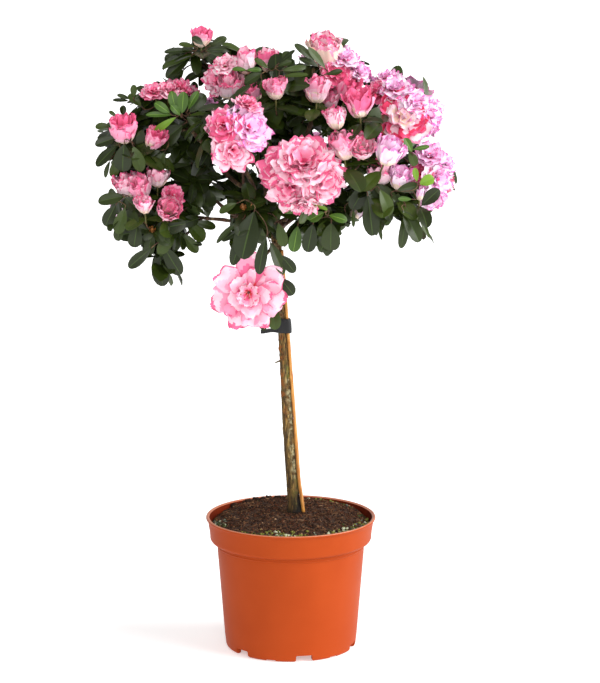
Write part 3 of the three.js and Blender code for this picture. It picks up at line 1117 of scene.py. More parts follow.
@dataclass
class Cane:
    """The split cane that the stem is tied to."""

    sides: int = 20
    rings: int = 120
    knots: tuple[float, ...] = (0.16, 0.52, 0.83)

    def build(self) -> Limb:
        """Builds the cane and returns its middle line.

        Returns:
            The cane's limb.
        """
        low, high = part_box("cane")
        limb = Limb.of("cane", np.array([high.x, 0, low.z]), self.rings, 1)
        share = np.linspace(0, 1, self.rings)
        limb.path[:, 0] -= 1.9 * MM * smooth_step(share / 0.14) * (1 - 0.5 * share)
        radii = 0.82 * limb.radii * (1 + 0.04 * np.sin(share * 31))
        for knot in self.knots:
            radii += 0.35 * MM * np.exp(-(((share - knot) / 0.008) ** 2))
        shape = Gathering()
        shape.add(*tube(limb.path, radii, self.sides))
        made = shape.piece("cane_rod", [Wood.CANE.value.material()])
        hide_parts("cane")
        return limb


@dataclass
class Tie:
    """The black strip drawn round the stem and the cane, with its loose end."""

    thickness: float = 1.1 * MM
    stem_radius: float = 5.0 * MM
    cane_radius: float = 2.3 * MM
    turns: int = 72
    levels: int = 9

    def belt(self, stem: Array, cane: Array, grow: float) -> Array:
        """The loop of a strip drawn tight round two rods.

        Args:
            stem: Middle of the stem at this height.
            cane: Middle of the cane.
            grow: How far the loop stands outside the rods' own radii.

        Returns:
            Points round the loop.
        """
        angle = ring(self.turns)
        way = np.stack([np.cos(angle), np.sin(angle), 0 * angle], -1)
        round_stem = stem + way * (self.stem_radius + grow)
        round_cane = cane + way * (self.cane_radius + grow)
        further = ((round_cane - round_stem) * way).sum(1) > 0
        return np.where(further[:, None], round_cane, round_stem)

    def build(self, stem: Limb, cane: Limb) -> None:
        """Builds the band and its tail, at the height of the frame's tie.

        Args:
            stem: The stem's limb.
            cane: The cane's.
        """
        low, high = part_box("tie")
        heights = np.linspace(low.z + 0.4 * MM, high.z - 0.4 * MM, self.levels)
        bulge = 0.5 * MM * np.sin(np.linspace(0, math.pi, self.levels)) ** 0.5
        outer = [self.belt(stem.at(z), cane.at(z), self.thickness + b)
                 for z, b in zip(heights, bulge)]
        inner = [self.belt(stem.at(z), cane.at(z), 0.0) for z in heights[::-1]]
        rings = np.array(outer + inner + outer[:1])
        shape = Gathering()
        shape.add(rings.reshape(-1, 3), quads(len(rings), self.turns, closed=True))
        start = stem.at(low.z + 2.2 * MM) + [-4.4 * MM, -3.4 * MM, 0]
        finish = np.array([low.x, start[1] - 1.0 * MM, low.z + 2.4 * MM])
        path = np.linspace(start, finish, 12)
        path[:, 2] += 0.7 * MM * np.sin(np.linspace(0, 5, 12))
        section = np.array([(0.5, -1), (0.5, 1), (-0.5, 1), (-0.5, -1)]) * [0.9 * MM, 2.0 * MM]
        strip = np.array([place + [0, y, z] for place in path for y, z in section])
        shape.add(strip, quads(12, 4, closed=True))
        shape.add(strip[-4:], np.array([[0, 1, 2, 3]]))
        made = shape.piece("tie_strap", [Stuff.TIE.value.material()])
        made.data.set_sharp_from_angle(angle=math.radians(40))
        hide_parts("tie")


# ---- Leaves ----
@dataclass(frozen=True)
class LeafForm:
    """The blade that every leaf is cut to: widest past its middle, blunt, with a sunk rib."""

    rows: tuple[float, ...] = (0.0, 0.12, 0.3, 0.5, 0.68, 0.83, 0.94, 1.0)
    columns: tuple[float, ...] = (-1.0, -0.55, -0.06, 0.06, 0.55, 1.0)

    def blade(self, length: float, width: float, bend: float, fold: float, wave: float) -> Array:
        """The points of one leaf, upper side first and then the under side.

        Args:
            length: From its foot to its tip.
            width: At its widest.
            bend: How far the tip turns down, in radians.
            fold: How far the two halves lift, as a share of the width.
            wave: Where the wave along its margin starts, in radians.

        Returns:
            Points with X along the leaf, Y across it and Z up from its upper side.
        """
        share = np.array(self.rows)
        outline = np.clip(share, 0.012, 1) ** 0.82 * np.clip(1.01 - share, 0, 1) ** 0.56
        half = np.maximum(width / 2 * outline / 0.4, width * 0.035)
        lean, zero = -bend * share**1.2, 0 * share
        gaps = np.diff(share, prepend=0) * length
        along, up = np.cumsum(np.cos(lean) * gaps), np.cumsum(np.sin(lean) * gaps)
        spine = np.stack([along, zero, up], -1)
        normal = np.stack([-np.sin(lean), zero, np.cos(lean)], -1)
        sides = []
        for column in self.columns:
            raised = fold * abs(column) - 0.5 * fold * column**2 + 0.035 * (abs(column) > 0.3)
            lift = half * raised + 0.06 * half * abs(column) * np.sin(9 * share + wave + column)
            aside = np.stack([zero, half * column, zero], -1)
            sides.append(spine + aside + normal * lift[:, None])
        keel = spine - normal * (0.03 * width)
        top, under = np.stack(sides, 1), np.stack([sides[0], keel, sides[-1]], 1)
        return np.vstack([top.reshape(-1, 3), under.reshape(-1, 3)])

    def faces(self) -> Array:
        """The leaf's faces, upper side first and then the under side turned over."""
        count, rows = len(self.columns), len(self.rows)
        return np.vstack([quads(rows, count)[:, ::-1], quads(rows, 3) + rows * count])

    def finishes(self, top: Leafage, rib: Leafage, under: Leafage) -> Array:
        """The finish of each face: the blade's, the rib's down its middle, and the under side's.

        Args:
            top: The blade's finish.
            rib: The rib's.
            under: The under side's.

        Returns:
            A finish number for each face.
        """
        strips, rows = len(self.columns) - 1, len(self.rows) - 1
        row = np.full(strips, place_of(top))
        if strips % 2:
            row[strips // 2] = place_of(rib)
        return np.concatenate([np.tile(row, rows), np.full(2 * rows, place_of(under))])


OUTER_LEAF = LeafForm()
INNER_LEAF = LeafForm((0.0, 0.3, 0.6, 0.86, 1.0), (-1.0, 0.0, 1.0))
SEPAL_LEAF = LeafForm((0.0, 0.3, 0.65, 1.0), (-1.0, -0.4, 0.4, 1.0))
SCALE_LEAF = LeafForm((0.0, 0.4, 0.8, 1.0), (-1.0, -0.4, 0.4, 1.0))


@dataclass
class Leaves:
    """The leaves of one mass, gathered as they grow."""

    chance: random.Random

    def __post_init__(self) -> None:
        """Starts with no leaf, and nothing to keep clear of."""
        self.shape, self.clear = Gathering(), np.zeros((0, 6))

    def blocked(self, foot: Array, reach: Array) -> bool:
        """Whether a leaf would crowd a flower, hide a listed one, or stand in open air.

        Args:
            foot: Where the leaf leaves its shoot.
            reach: From there to its tip.

        Returns:
            True if it would.
        """
        middles, radii, sights = self.clear[:, :3], self.clear[:, 3], self.clear[:, 4:]
        for part in (0.45, 0.72, 1.0):
            place = foot + reach * part
            crowds = gap(middles, place) < radii
            before = place[1] < middles[:, 1]
            hides = (gap(sights, seen(place)) < 0.85 * radii) & before
            aside = gap(AIR[:, :2], seen(place))
            if crowds.any() or hides.any() or (aside < AIR[:, 2]).any():
                return True
        return False

    def leaf(
        self, foot: Array, along: Array, above: Array, length: float, age: float,
        form: LeafForm = OUTER_LEAF, breadth: float = 0.0,
    ) -> None:
        """Grows one leaf.

        Args:
            foot: Where it leaves the shoot.
            along: The way it points.
            above: Roughly the way that its upper side faces.
            length: Its length.
            age: Nought for the youngest and brightest, one for old and dark.
            form: The blade to cut it to.
            breadth: Its width, given only for a listed leaf, which nothing blocks.
        """
        chance = self.chance
        if not breadth and self.blocked(foot, along * length):
            return
        side = unit(np.cross(above, along))
        width = breadth or length * chance.uniform(0.42, 0.56)
        bend, fold, wave = (chance.uniform(*span) for span in ((0.1, 0.8), (0.1, 0.5), (0, 6)))
        if age < 0.3:
            top = Leafage.FRESH if age < 0.12 else Leafage.LIGHT
            tone = (top, Leafage.RIB_FRESH, Leafage.UNDER_FRESH)
        elif form is INNER_LEAF:
            tone = (Leafage.DARK, Leafage.DARK, Leafage.MIDDLE)
        else:
            # Leaves on the right, where the key light falls, are dealt the lighter greens more
            # often: painted light.
            shares = (5, 5, 3) if foot[0] < 30 * MM else (3, 5, 7)
            pick = chance.choices((Leafage.DEEP, Leafage.DARK, Leafage.MIDDLE), shares)[0]
            tone = (pick, Leafage.RIB, Leafage.UNDER)
        local = form.blade(length, width, bend, fold, wave)
        points = foot + local @ np.stack([along, side, np.cross(along, side)])
        self.shape.add(points, form.faces(), form.finishes(*tone))

    def rosette(
        self, tip: Array, axis: Array, count: int, length: float, droop: float,
        fresh: float = 0.0, inner: float = 38.0, form: LeafForm = OUTER_LEAF,
    ) -> None:
        """Grows the whorl of leaves at the end of a shoot.

        Args:
            tip: The end of the shoot.
            axis: The way that the shoot points.
            count: How many leaves.
            length: Length of the largest.
            droop: How strongly they hang, from nought to one.
            fresh: Share of young bright leaves.
            inner: Tilt of the innermost leaf from the shoot, in degrees.
            form: The blade to cut them to.
        """
        chance = self.chance
        start = chance.uniform(0, TAU)
        for k in range(count):
            age = (k + 0.5) / count
            tilt = math.radians(mix(inner, 94, age**0.8) + chance.uniform(-10, 10))
            along = turned(axis, tilt, start + k * GOLDEN_ANGLE + chance.uniform(-0.25, 0.25))
            along = unit(along - UP * droop * mix(0.35, 1.0, age))
            above = unit(axis + 0.45 * UP + 0.3 * FRONT - along * 0.2)
            foot = tip - axis * (age * 0.14 * length) + along * 1.0 * MM
            size = length * mix(0.6, 1.0, min(1.0, age * 1.6)) * chance.uniform(0.85, 1.1)
            young = chance.random() < fresh
            self.leaf(foot, along, above, size, 0.2 * chance.random() if young else 1.0, form)


# ---- Flowers ----
@dataclass(frozen=True)
class Whorl:
    """One ring of petals. Sizes are shares of the flower's width, leans are in degrees.

    The higher the bowl, the sooner a petal turns from its first lean to its last; folds
    multiplies the ruffles along its edge.
    """

    count: int
    length: float
    width: float
    lean: tuple[float, float]
    ruffle: float
    wrap: float = 0.3
    foot: float = 0.03
    rise: float = 0.0
    deeper: int = 0
    blunt: float = 0.66
    bowl: float = 1.0
    folds: float = 1.0


class Stage(Enum):
    """How far open a flower is, as its rings of petals from the outside in."""

    BUD = (
        Whorl(5, 0.95, 0.98, (88, -16), 0.03, 0.95, 0.06, 0.0, 0, 0.8, 2.0),
        Whorl(4, 1.0, 0.6, (40, -12), 0.06, 0.9, 0.04, 0.05, 1, 0.8),
    )
    CUP = (
        Whorl(5, 0.84, 0.86, (95, 2), 0.07, 0.85, 0.05, 0.0, 0, 0.86, 2.2, 1.8),
        Whorl(6, 0.95, 0.6, (80, 12), 0.18, 0.6, 0.04, 0.03, 0, 0.86, 2.2, 1.8),
        Whorl(6, 0.95, 0.5, (52, 16), 0.26, 0.5, 0.03, 0.06, 1, 0.85, 1.6, 1.8),
        Whorl(5, 0.9, 0.4, (14, 8), 0.3, 0.3, 0.02, 0.08, 1, 0.85, 1.0, 1.8),
    )
    ROSETTE = (
        Whorl(6, 0.48, 0.54, (56, 92), 0.18, 0.15),
        Whorl(6, 0.46, 0.48, (40, 74), 0.22, 0.15, 0.03, 0.03),
        Whorl(5, 0.42, 0.4, (22, 52), 0.28, 0.2, 0.03, 0.05, 1),
        Whorl(4, 0.38, 0.34, (6, 32), 0.32, 0.25, 0.02, 0.07, 1),
    )
    DOUBLE = (
        Whorl(6, 0.5, 0.56, (62, 97), 0.17, 0.08),
        Whorl(6, 0.44, 0.48, (46, 82), 0.2, 0.1, 0.03, 0.03),
        Whorl(5, 0.36, 0.38, (30, 62), 0.28, 0.2, 0.02, 0.05, 1),
        Whorl(4, 0.3, 0.3, (10, 40), 0.32, 0.25, 0.02, 0.06, 1),
    )
    OPEN = (
        Whorl(7, 0.54, 0.46, (76, 97), 0.18, 0.05, 0.04, blunt=0.42),
        Whorl(5, 0.33, 0.3, (56, 86), 0.16, 0.05, 0.03, 0.02, blunt=0.5),
        Whorl(5, 0.24, 0.24, (24, 64), 0.34, 0.2, 0.02, 0.03, 0, 0.6, 1.0, 1.3),
    )


class Tint(Enum):
    """The colours of a petal: its foot, its body, the band inside its edge, and its edge."""

    CREAM = (Pink.SOFT, Pink.CREAM, Pink.BLUSH, Pink.ROSE)
    BLUSH = (Pink.ROSE, Pink.PALE, Pink.BLUSH, Pink.DEEP)
    PALE = (Pink.DEEP, Pink.SOFT, Pink.PALE, Pink.DEEP)
    SOFT = (Pink.DEEP, Pink.ROSE, Pink.SOFT, Pink.DEEP)
    ROSE = (Pink.RED, Pink.DEEP, Pink.ROSE, Pink.DEEP)
    RED = (Pink.RED, Pink.DEEP, Pink.DEEP, Pink.SOFT)
    FLAME = (Pink.SOFT, Pink.PALE, Pink.RED, Pink.DEEP)
    MIST = (Pink.ROSE, Pink.MIST, Pink.MIST, Pink.ORCHID)
    LILAC = (Pink.DEEP, Pink.LILAC, Pink.LILAC, Pink.ORCHID)

    def inwards(self) -> "Tint":
        """The tint of the petals further in, mostly deeper: partly the flower's own deeper heart,
        partly painted shade in its hollow.
        """
        further = {FLAME: CREAM, CREAM: BLUSH, BLUSH: PALE, PALE: SOFT, SOFT: ROSE, ROSE: RED}
        return {MIST: LILAC, **further}.get(self, self)


BUD, CUP, ROSETTE, DOUBLE, OPEN = Stage
CREAM, BLUSH, PALE, SOFT, ROSE, RED, FLAME, MIST, LILAC = Tint


@dataclass(frozen=True)
class PetalForm:
    """The grid that a petal is shaped from: places along it, and places across it."""

    rows: tuple[float, ...]
    columns: tuple[float, ...]

    @classmethod
    def of(cls, rows: int, columns: int) -> "PetalForm":
        """A fine grid, closer set towards the petal's tip and sides.

        Args:
            rows: How many places along the petal.
            columns: How many across it.

        Returns:
            The grid.
        """
        sides = np.sin(np.linspace(-0.5, 0.5, columns) * math.pi) * 0.6
        return cls(
            tuple(np.linspace(0, 1, rows) ** 0.85), tuple(sides + np.linspace(-0.4, 0.4, columns))
        )


FINEST = PetalForm.of(19, 25)
FINER = PetalForm.of(13, 21)
FINE = PetalForm(
    (0.0, 0.1, 0.22, 0.36, 0.52, 0.66, 0.78, 0.88, 0.95, 1.0),
    (-1.0, -0.94, -0.84, -0.7, -0.52, -0.34, -0.16, 0.0, 0.16, 0.34, 0.52, 0.7, 0.84, 0.94, 1.0),
)
COARSE = PetalForm(
    (0.0, 0.14, 0.32, 0.54, 0.72, 0.86, 0.95, 1.0),
    (-1.0, -0.92, -0.72, -0.4, 0.0, 0.4, 0.72, 0.92, 1.0),
)


@dataclass
class Flowers:
    """The flowers of one mass, gathered as they open."""

    chance: random.Random

    def __post_init__(self) -> None:
        """Starts with no flower."""
        self.shape = Gathering()

    def petal(self, whorl: Whorl, size: float, turn: float, form: PetalForm) -> tuple[Array, ...]:
        """Shapes one petal.

        Args:
            whorl: The ring that it belongs to.
            size: Width of the flower.
            turn: Its angle about the flower's axis.
            form: The grid to shape it from.

        Returns:
            Its points about the flower's foot; then, for each face, how near it lies to the
            petal's edge, how far along the petal, and its angle from the petal's middle line.
        """
        chance = self.chance
        share, s = np.meshgrid(form.rows, form.columns, indexing="ij")
        length = size * whorl.length * chance.uniform(0.86, 1.1)
        half = size * whorl.width / 2 * chance.uniform(0.88, 1.14)
        past = np.clip(share - whorl.blunt, 0, 1) / (1.03 - whorl.blunt)
        outline = (0.26 + 0.74 * smooth_step(share / 0.6)) * np.sqrt(np.clip(1 - past**2, 0.08, 1))
        tilt = chance.uniform(-10, 10)
        first_lean, last_lean = whorl.lean
        lean = last_lean + (first_lean - last_lean) * (1 - share) ** whorl.bowl
        lean = np.radians(lean + tilt)
        gaps = np.diff(np.array(form.rows), prepend=0)[:, None] * length
        out = np.cumsum(np.sin(lean[:, :1]) * gaps, 0)
        up = np.cumsum(np.cos(lean[:, :1]) * gaps, 0)
        fan = np.arctan2(s * outline * half, (share + 0.1) * length)
        first, second = chance.uniform(0, 6.3), chance.uniform(0, 6.3)
        pitch = chance.uniform(9, 12) * whorl.folds
        wave = np.sin(pitch * fan + first) + 0.3 * np.sin(1.8 * pitch * fan + second + 3 * share)
        edge = np.maximum(np.abs(s), np.clip((share - 0.35) / 0.65, 0, 1))
        lift = half * (0.16 * s**2 * (1 - whorl.wrap) + whorl.ruffle * edge**3 * wave)
        side = s * outline * half * (1 + 0.07 * wave * edge)
        ragged = np.array([chance.uniform(-1, 1) for _ in form.columns])
        frill = 0.03 * np.sin(26 * fan + second) + 0.025 * ragged
        stretch = 1 + (0.05 * wave + frill) * edge * share
        radius = size * whorl.foot + out * stretch - lift * np.cos(lean)
        height = size * whorl.rise + up * stretch + lift * np.sin(lean)
        bent = whorl.wrap * side / np.maximum(np.abs(radius), 0.3 * half)
        x, y = radius * np.cos(bent), radius * np.sin(bent) + (1 - whorl.wrap) * side
        cosine, sine = math.cos(turn), math.sin(turn)
        points = np.stack([x * cosine - y * sine, x * sine + y * cosine, height], -1)
        near = edge + 0.06 * wave * (edge < 0.95)
        near = (near[:-1, :-1] + near[1:, 1:] + near[:-1, 1:] + near[1:, :-1]) / 4
        return points.reshape(-1, 3), near.ravel(), share[:-1, :-1].ravel(), fan[1:, 1:].ravel()

    def zones(self, edge: Array, share: Array, fan: Array, tint: Tint, stage: Stage) -> Array:
        """The finish of each face of a petal.

        Args:
            edge: How near each face lies to the petal's edge.
            share: How far along the petal it lies.
            fan: Its angle from the petal's middle line.
            tint: The petal's colours.
            stage: The flower's stage, which sets where its colours change.

        Returns:
            A finish number for each face.
        """
        chance = self.chance
        foot, body, band, rim = (place_of(pink) for pink in tint.value)
        shift = chance.uniform(-0.06, 0.04)
        stained = np.sin(chance.uniform(4, 7) * fan + chance.uniform(0, 6)) > -0.45
        line = (edge > (0.94 if stage is OPEN else 0.9) + shift) & stained
        if stage in (CUP, BUD):
            zones = ((share < 0.52 + shift, band), (share < 0.34 + shift, place_of(Pink.CREAM)),
                     (line & (share > 0.45), rim))
        elif stage is OPEN:
            fleck = np.array([chance.random() for _ in edge])
            paler = 0.5 + shift + 0.1 * np.sin(9 * fan + 40 * shift)
            throat = (share < 0.2) | ((share < 0.32) & (fleck > 0.85))
            zones = (((share > paler) & ~line, band),
                     ((share > paler + 0.24) & (edge < 0.93), place_of(Pink.PALE)),
                     (line & (share > 0.3), rim),
                     ((share < 0.36) & (fleck < 0.3), place_of(Pink.DEEP)),
                     (throat, place_of(Pink.THROAT)))
        else:
            # Petal feet take the tint's deeper foot colour: partly the flower's own deeper heart,
            # partly painted shade where the petals crowd.
            zones = ((edge > 0.66 + shift, band), (share < 0.25, foot), (line, rim))
        made = np.full(len(edge), body)
        for where, finish in zones:
            made[where] = finish
        return made

    def flower(self, foot: Array, axis: Array, size: float, stage: Stage, tint: Tint) -> None:
        """Opens one flower on its stalk.

        Args:
            foot: The foot of its petals.
            axis: The way that it faces.
            size: Its width; the height of a bud or a cup.
            stage: How far it is open.
            tint: Its colours.
        """
        chance = self.chance
        first, second = across(axis)
        basis = np.stack([first, second, axis])
        for whorl in stage.value:
            form = FINE if size > 24 * MM and whorl.width * size > 9 * MM else COARSE
            form = FINEST if stage is OPEN else FINER if size > 43 * MM else form
            spread = stage is OPEN and whorl.rise == 0
            start = math.atan2(second[2], first[2]) if spread else chance.uniform(0, 6.3)
            loose = 0.11 if spread else 0.3
            for k in range(whorl.count):
                turn = start + TAU * k / whorl.count + chance.uniform(-loose, loose)
                points, edge, share, fan = self.petal(whorl, size, turn, form)
                inwards = whorl.deeper + (chance.random() < 0.15)
                finish = self.zones(edge, share, fan, tint.inwards() if inwards else tint, stage)
                faces = quads(len(form.rows), len(form.columns))
                self.shape.add(foot + points @ basis, faces, finish)
        if stage is OPEN:
            self.stamens(foot, basis, size)
        self.calyx(foot, basis, size)

    def stamens(self, foot: Array, basis: Array, size: float) -> None:
        """Adds the eight pale stamens of an open flower.

        Args:
            foot: The flower's foot.
            basis: Three directions, the last the way it faces.
            size: Its width.
        """
        for k in range(8):
            turn = k * GOLDEN_ANGLE
            reach = size * self.chance.uniform(0.16, 0.27)
            tilt = self.chance.uniform(0.2, 0.7)
            share = np.linspace(0.05, 1, 6)
            out = np.sin(tilt * (1.3 - 0.5 * share)) * share * reach
            local = np.stack([out * math.cos(turn), out * math.sin(turn), share * reach * 0.9], -1)
            path = foot + local @ basis
            self.shape.add(*tube(path, np.full(6, 0.35 * MM), 4), place_of(Pink.STAMEN))
            bead = path[-1] + (path[-1] - path[-2]) * np.linspace(-0.2, 0.4, 4)[:, None]
            fat = np.array([0.4, 1.0, 1.0, 0.3]) * 0.7 * MM
            self.shape.add(*tube(bead, fat, 6), place_of(Pink.ANTHER))

    def scale(self, foot: Array, way: Array, side: Array, blade: Array, kind: Pink) -> None:
        """Lays the upper side of one small leaf, of a calyx or a bud, along a way."""
        placed = foot + blade[:16] @ np.stack([way, side, np.cross(way, side)])
        self.shape.add(placed, quads(4, 4), place_of(kind))

    def calyx(self, foot: Array, basis: Array, size: float) -> None:
        """Adds the green cup of sepals under a flower, and its stalk.

        Args:
            foot: The flower's foot.
            basis: As for stamens.
            size: Its width.
        """
        axis, reach = basis[2], min(size * 0.3, 7 * MM)
        start = self.chance.uniform(0, 6)
        for k in range(5):
            turn = start + k * 2 * math.pi / 5
            out = math.cos(turn) * basis[0] + math.sin(turn) * basis[1]
            along = unit(out * 0.8 + axis * 0.75)
            blade = SEPAL_LEAF.blade(reach, reach * 0.5, -0.5, 0.2, 0.0)
            side = unit(np.cross(axis, along))
            self.scale(foot - axis * 0.8 * MM, along, side, blade, Pink.SEPAL)
        path = foot - axis * np.linspace(-1.0, 11, 5)[:, None] * MM
        self.shape.add(*tube(path, np.full(5, 0.9 * MM), 6), place_of(Pink.STALK))

    def scaly_bud(self, foot: Array, axis: Array, length: float) -> None:
        """Adds a resting bud wrapped in brown scales.

        Args:
            foot: Its foot.
            axis: The way that it points.
            length: Its length.
        """
        share = np.linspace(0, 1, 7)
        girth = length * 0.3 * np.sin(math.pi * (0.12 + 0.88 * share) ** 0.8) + 0.2 * MM
        path = foot + axis * (share * length)[:, None]
        self.shape.add(*tube(path, girth, 10), place_of(Pink.SCALE))
        blade = SCALE_LEAF.blade(length * 0.62, length * 0.42, 0.25, -0.4, 0.0)
        for k in range(7):
            way = turned(axis, 0.25, k * GOLDEN_ANGLE)
            out = unit(way - axis * (way @ axis))
            place = foot + axis * length * (0.04 + 0.05 * k) + out * girth[2] * 0.75
            self.scale(place, way, unit(np.cross(axis, way)), blade, Pink.SCALE)


# ---- Crown ----
@dataclass(frozen=True)
class Site:
    """A listed flower: its direction from the middle of its mass, and what it is.

    The turn is in degrees from the front, to the right; the lift is above level; the size is in
    millimetres; upright is nought for a flower that faces straight out and one for one that
    faces up.
    """

    turn: float
    lift: float
    size: float
    stage: Stage
    tint: Tint
    upright: float = 0.6


@dataclass(frozen=True)
class Tuft:
    """A listed leafy shoot, with its direction as a Site's and its leaves' length.

    Fresh is its share of young leaves, count how many it has, and bud the length of the resting
    bud at its end; lengths are in millimetres.
    """

    turn: float
    lift: float
    length: float
    fresh: float = 0.0
    count: int = 6
    bud: float = 0.0


@dataclass(frozen=True)
class Blade:
    """A single listed leaf, as it is seen from the front.

    X and z are where its foot is seen on the upright plane through the stem; heading is the way
    that it points, in degrees from up, to the right. Near is how far it stands out before its
    mass. Lengths are in millimetres; age is nought for the youngest leaves.
    """

    x: float
    z: float
    heading: float
    length: float
    breadth: float
    age: float = 1.0
    near: float = 0.0


SITES = {
    "crest_left": ((25, 46, 19, CUP, SOFT, 0.9),),
    "crest_mid_left": (
        (15, 26, 26, BUD, BLUSH, 0.8), (-22, 22, 28, DOUBLE, BLUSH, 0.4),
        (-14, -14, 27, CUP, BLUSH, 0.7), (-44, -6, 36, DOUBLE, PALE, 0.3),
    ),
    "crest_middle": (
        (-115, 50, 22, CUP, ROSE, 0.8), (-20, 8, 22, CUP, PALE, 0.9),
        (-68, -5, 20, CUP, SOFT, 0.8), (45, 6, 26, CUP, PALE, 0.95),
    ),
    "left_upper": (
        (-20, 30, 28, DOUBLE, SOFT, 0.5), (6, 34, 28, DOUBLE, PALE, 0.5),
        (32, 42, 28, DOUBLE, ROSE, 0.5), (78, 32, 30, DOUBLE, PALE, 0.5),
    ),
    "face_left": (
        (-14, 24, 36, DOUBLE, RED, 0.2), (36, 16, 46, DOUBLE, LILAC, 0.1),
        (6, -22, 40, DOUBLE, PALE, 0.2), (44, 54, 28, DOUBLE, SOFT, 0.5),
    ),
    "left_shoulder": ((-12, 38, 28, CUP, SOFT, 0.7), (45, 20, 23, CUP, SOFT, 0.5)),
    "left_skirt": (
        (-64, 47, 26, CUP, BLUSH, 0.4), (-27, 47, 25, CUP, PALE, 0.4),
        (28, 74, 20, CUP, BLUSH, 0.8), (34, 32, 26, ROSETTE, ROSE, 0.2),
        (-10, 20, 18, CUP, BLUSH, 0.7), (22, 12, 25, CUP, PALE, 0.3),
    ),
    "crest_right": (
        (-18, 52, 34, CUP, CREAM, 0.6), (-70, 44, 24, DOUBLE, MIST, 0.6),
        (28, 38, 32, DOUBLE, MIST, 0.5), (8, 10, 32, DOUBLE, RED, 0.3),
        (52, 10, 28, DOUBLE, MIST, 0.4), (22, -14, 26, CUP, SOFT, 0.7),
        (-5, -32, 22, CUP, PALE, 0.7), (104, 2, 30, DOUBLE, LILAC, 0.4),
    ),
    "face_right": (
        (-5, 56, 28, CUP, SOFT, 0.6), (-45, 30, 22, CUP, BLUSH, 0.9),
        (-25, -9, 27, CUP, PALE, 0.9), (2, -14, 24, CUP, BLUSH, 0.5),
        (53, -20, 28, CUP, MIST, 0.7),
    ),
    "right_upper": (
        (-48, 34, 34, DOUBLE, RED, 0.2), (-62, 66, 28, DOUBLE, MIST, 0.5),
        (-10, 38, 34, DOUBLE, MIST, 0.3), (20, 12, 32, DOUBLE, MIST, 0.2),
        (4, -4, 52, DOUBLE, FLAME, 0.3), (30, -22, 46, DOUBLE, MIST, 0.0),
        (58, -8, 32, DOUBLE, LILAC, 0.1), (94, -22, 36, DOUBLE, MIST, 0.1),
        (58, -36, 28, DOUBLE, MIST, 0.0), (150, 20, 34, DOUBLE, LILAC, 0.3),
        (-8, -44, 32, DOUBLE, CREAM, -0.1),
    ),
    "right_shoulder": (
        (8, 40, 32, DOUBLE, LILAC, 0.2), (-12, 6, 28, DOUBLE, RED, 0.1),
        (26, -2, 40, DOUBLE, MIST, 0.0), (14, -38, 34, DOUBLE, MIST, 0.0),
        (56, 26, 26, DOUBLE, MIST, 0.1), (74, -22, 28, DOUBLE, BLUSH, 0.0),
    ),
    "right_skirt": (
        (-28, 56, 26, CUP, BLUSH, 0.6), (22, 42, 24, CUP, MIST, 0.5),
        (50, 12, 12, BUD, LILAC, 0.9),
    ),
    "face_middle": (
        (2, 34, 62, DOUBLE, PALE, 0.2), (38, -8, 54, DOUBLE, PALE, 0.0),
        (-24, -20, 50, DOUBLE, PALE, 0.0), (-48, 20, 48, DOUBLE, ROSE, 0.1),
        (2, -54, 36, DOUBLE, BLUSH, -0.3),
    ),
    "hanging_spray": ((-7, 0, 70, OPEN, SOFT, 0.0),),
}
TUFTS = {
    "crest_left": ((-30, -34, 26, 0, 6), (50, -34, 32, 0, 6)),
    "left_upper": ((-35, -30, 34),),
    "left_skirt": ((-60, 0, 36, 0, 6), (0, -34, 34, 0, 6, 7)),
    "face_middle": ((25, -72, 32, 0.6, 5),),
    "low_left": ((-4, 26, 34, 0, 6, 7), (26, 30, 34, 0, 5, 6)),
    "left_tip": ((60, 56, 28, 0, 5),),
    "right_tip": ((0, 60, 28, 0, 6),),
    "back_left": ((55, 62, 34),),
}
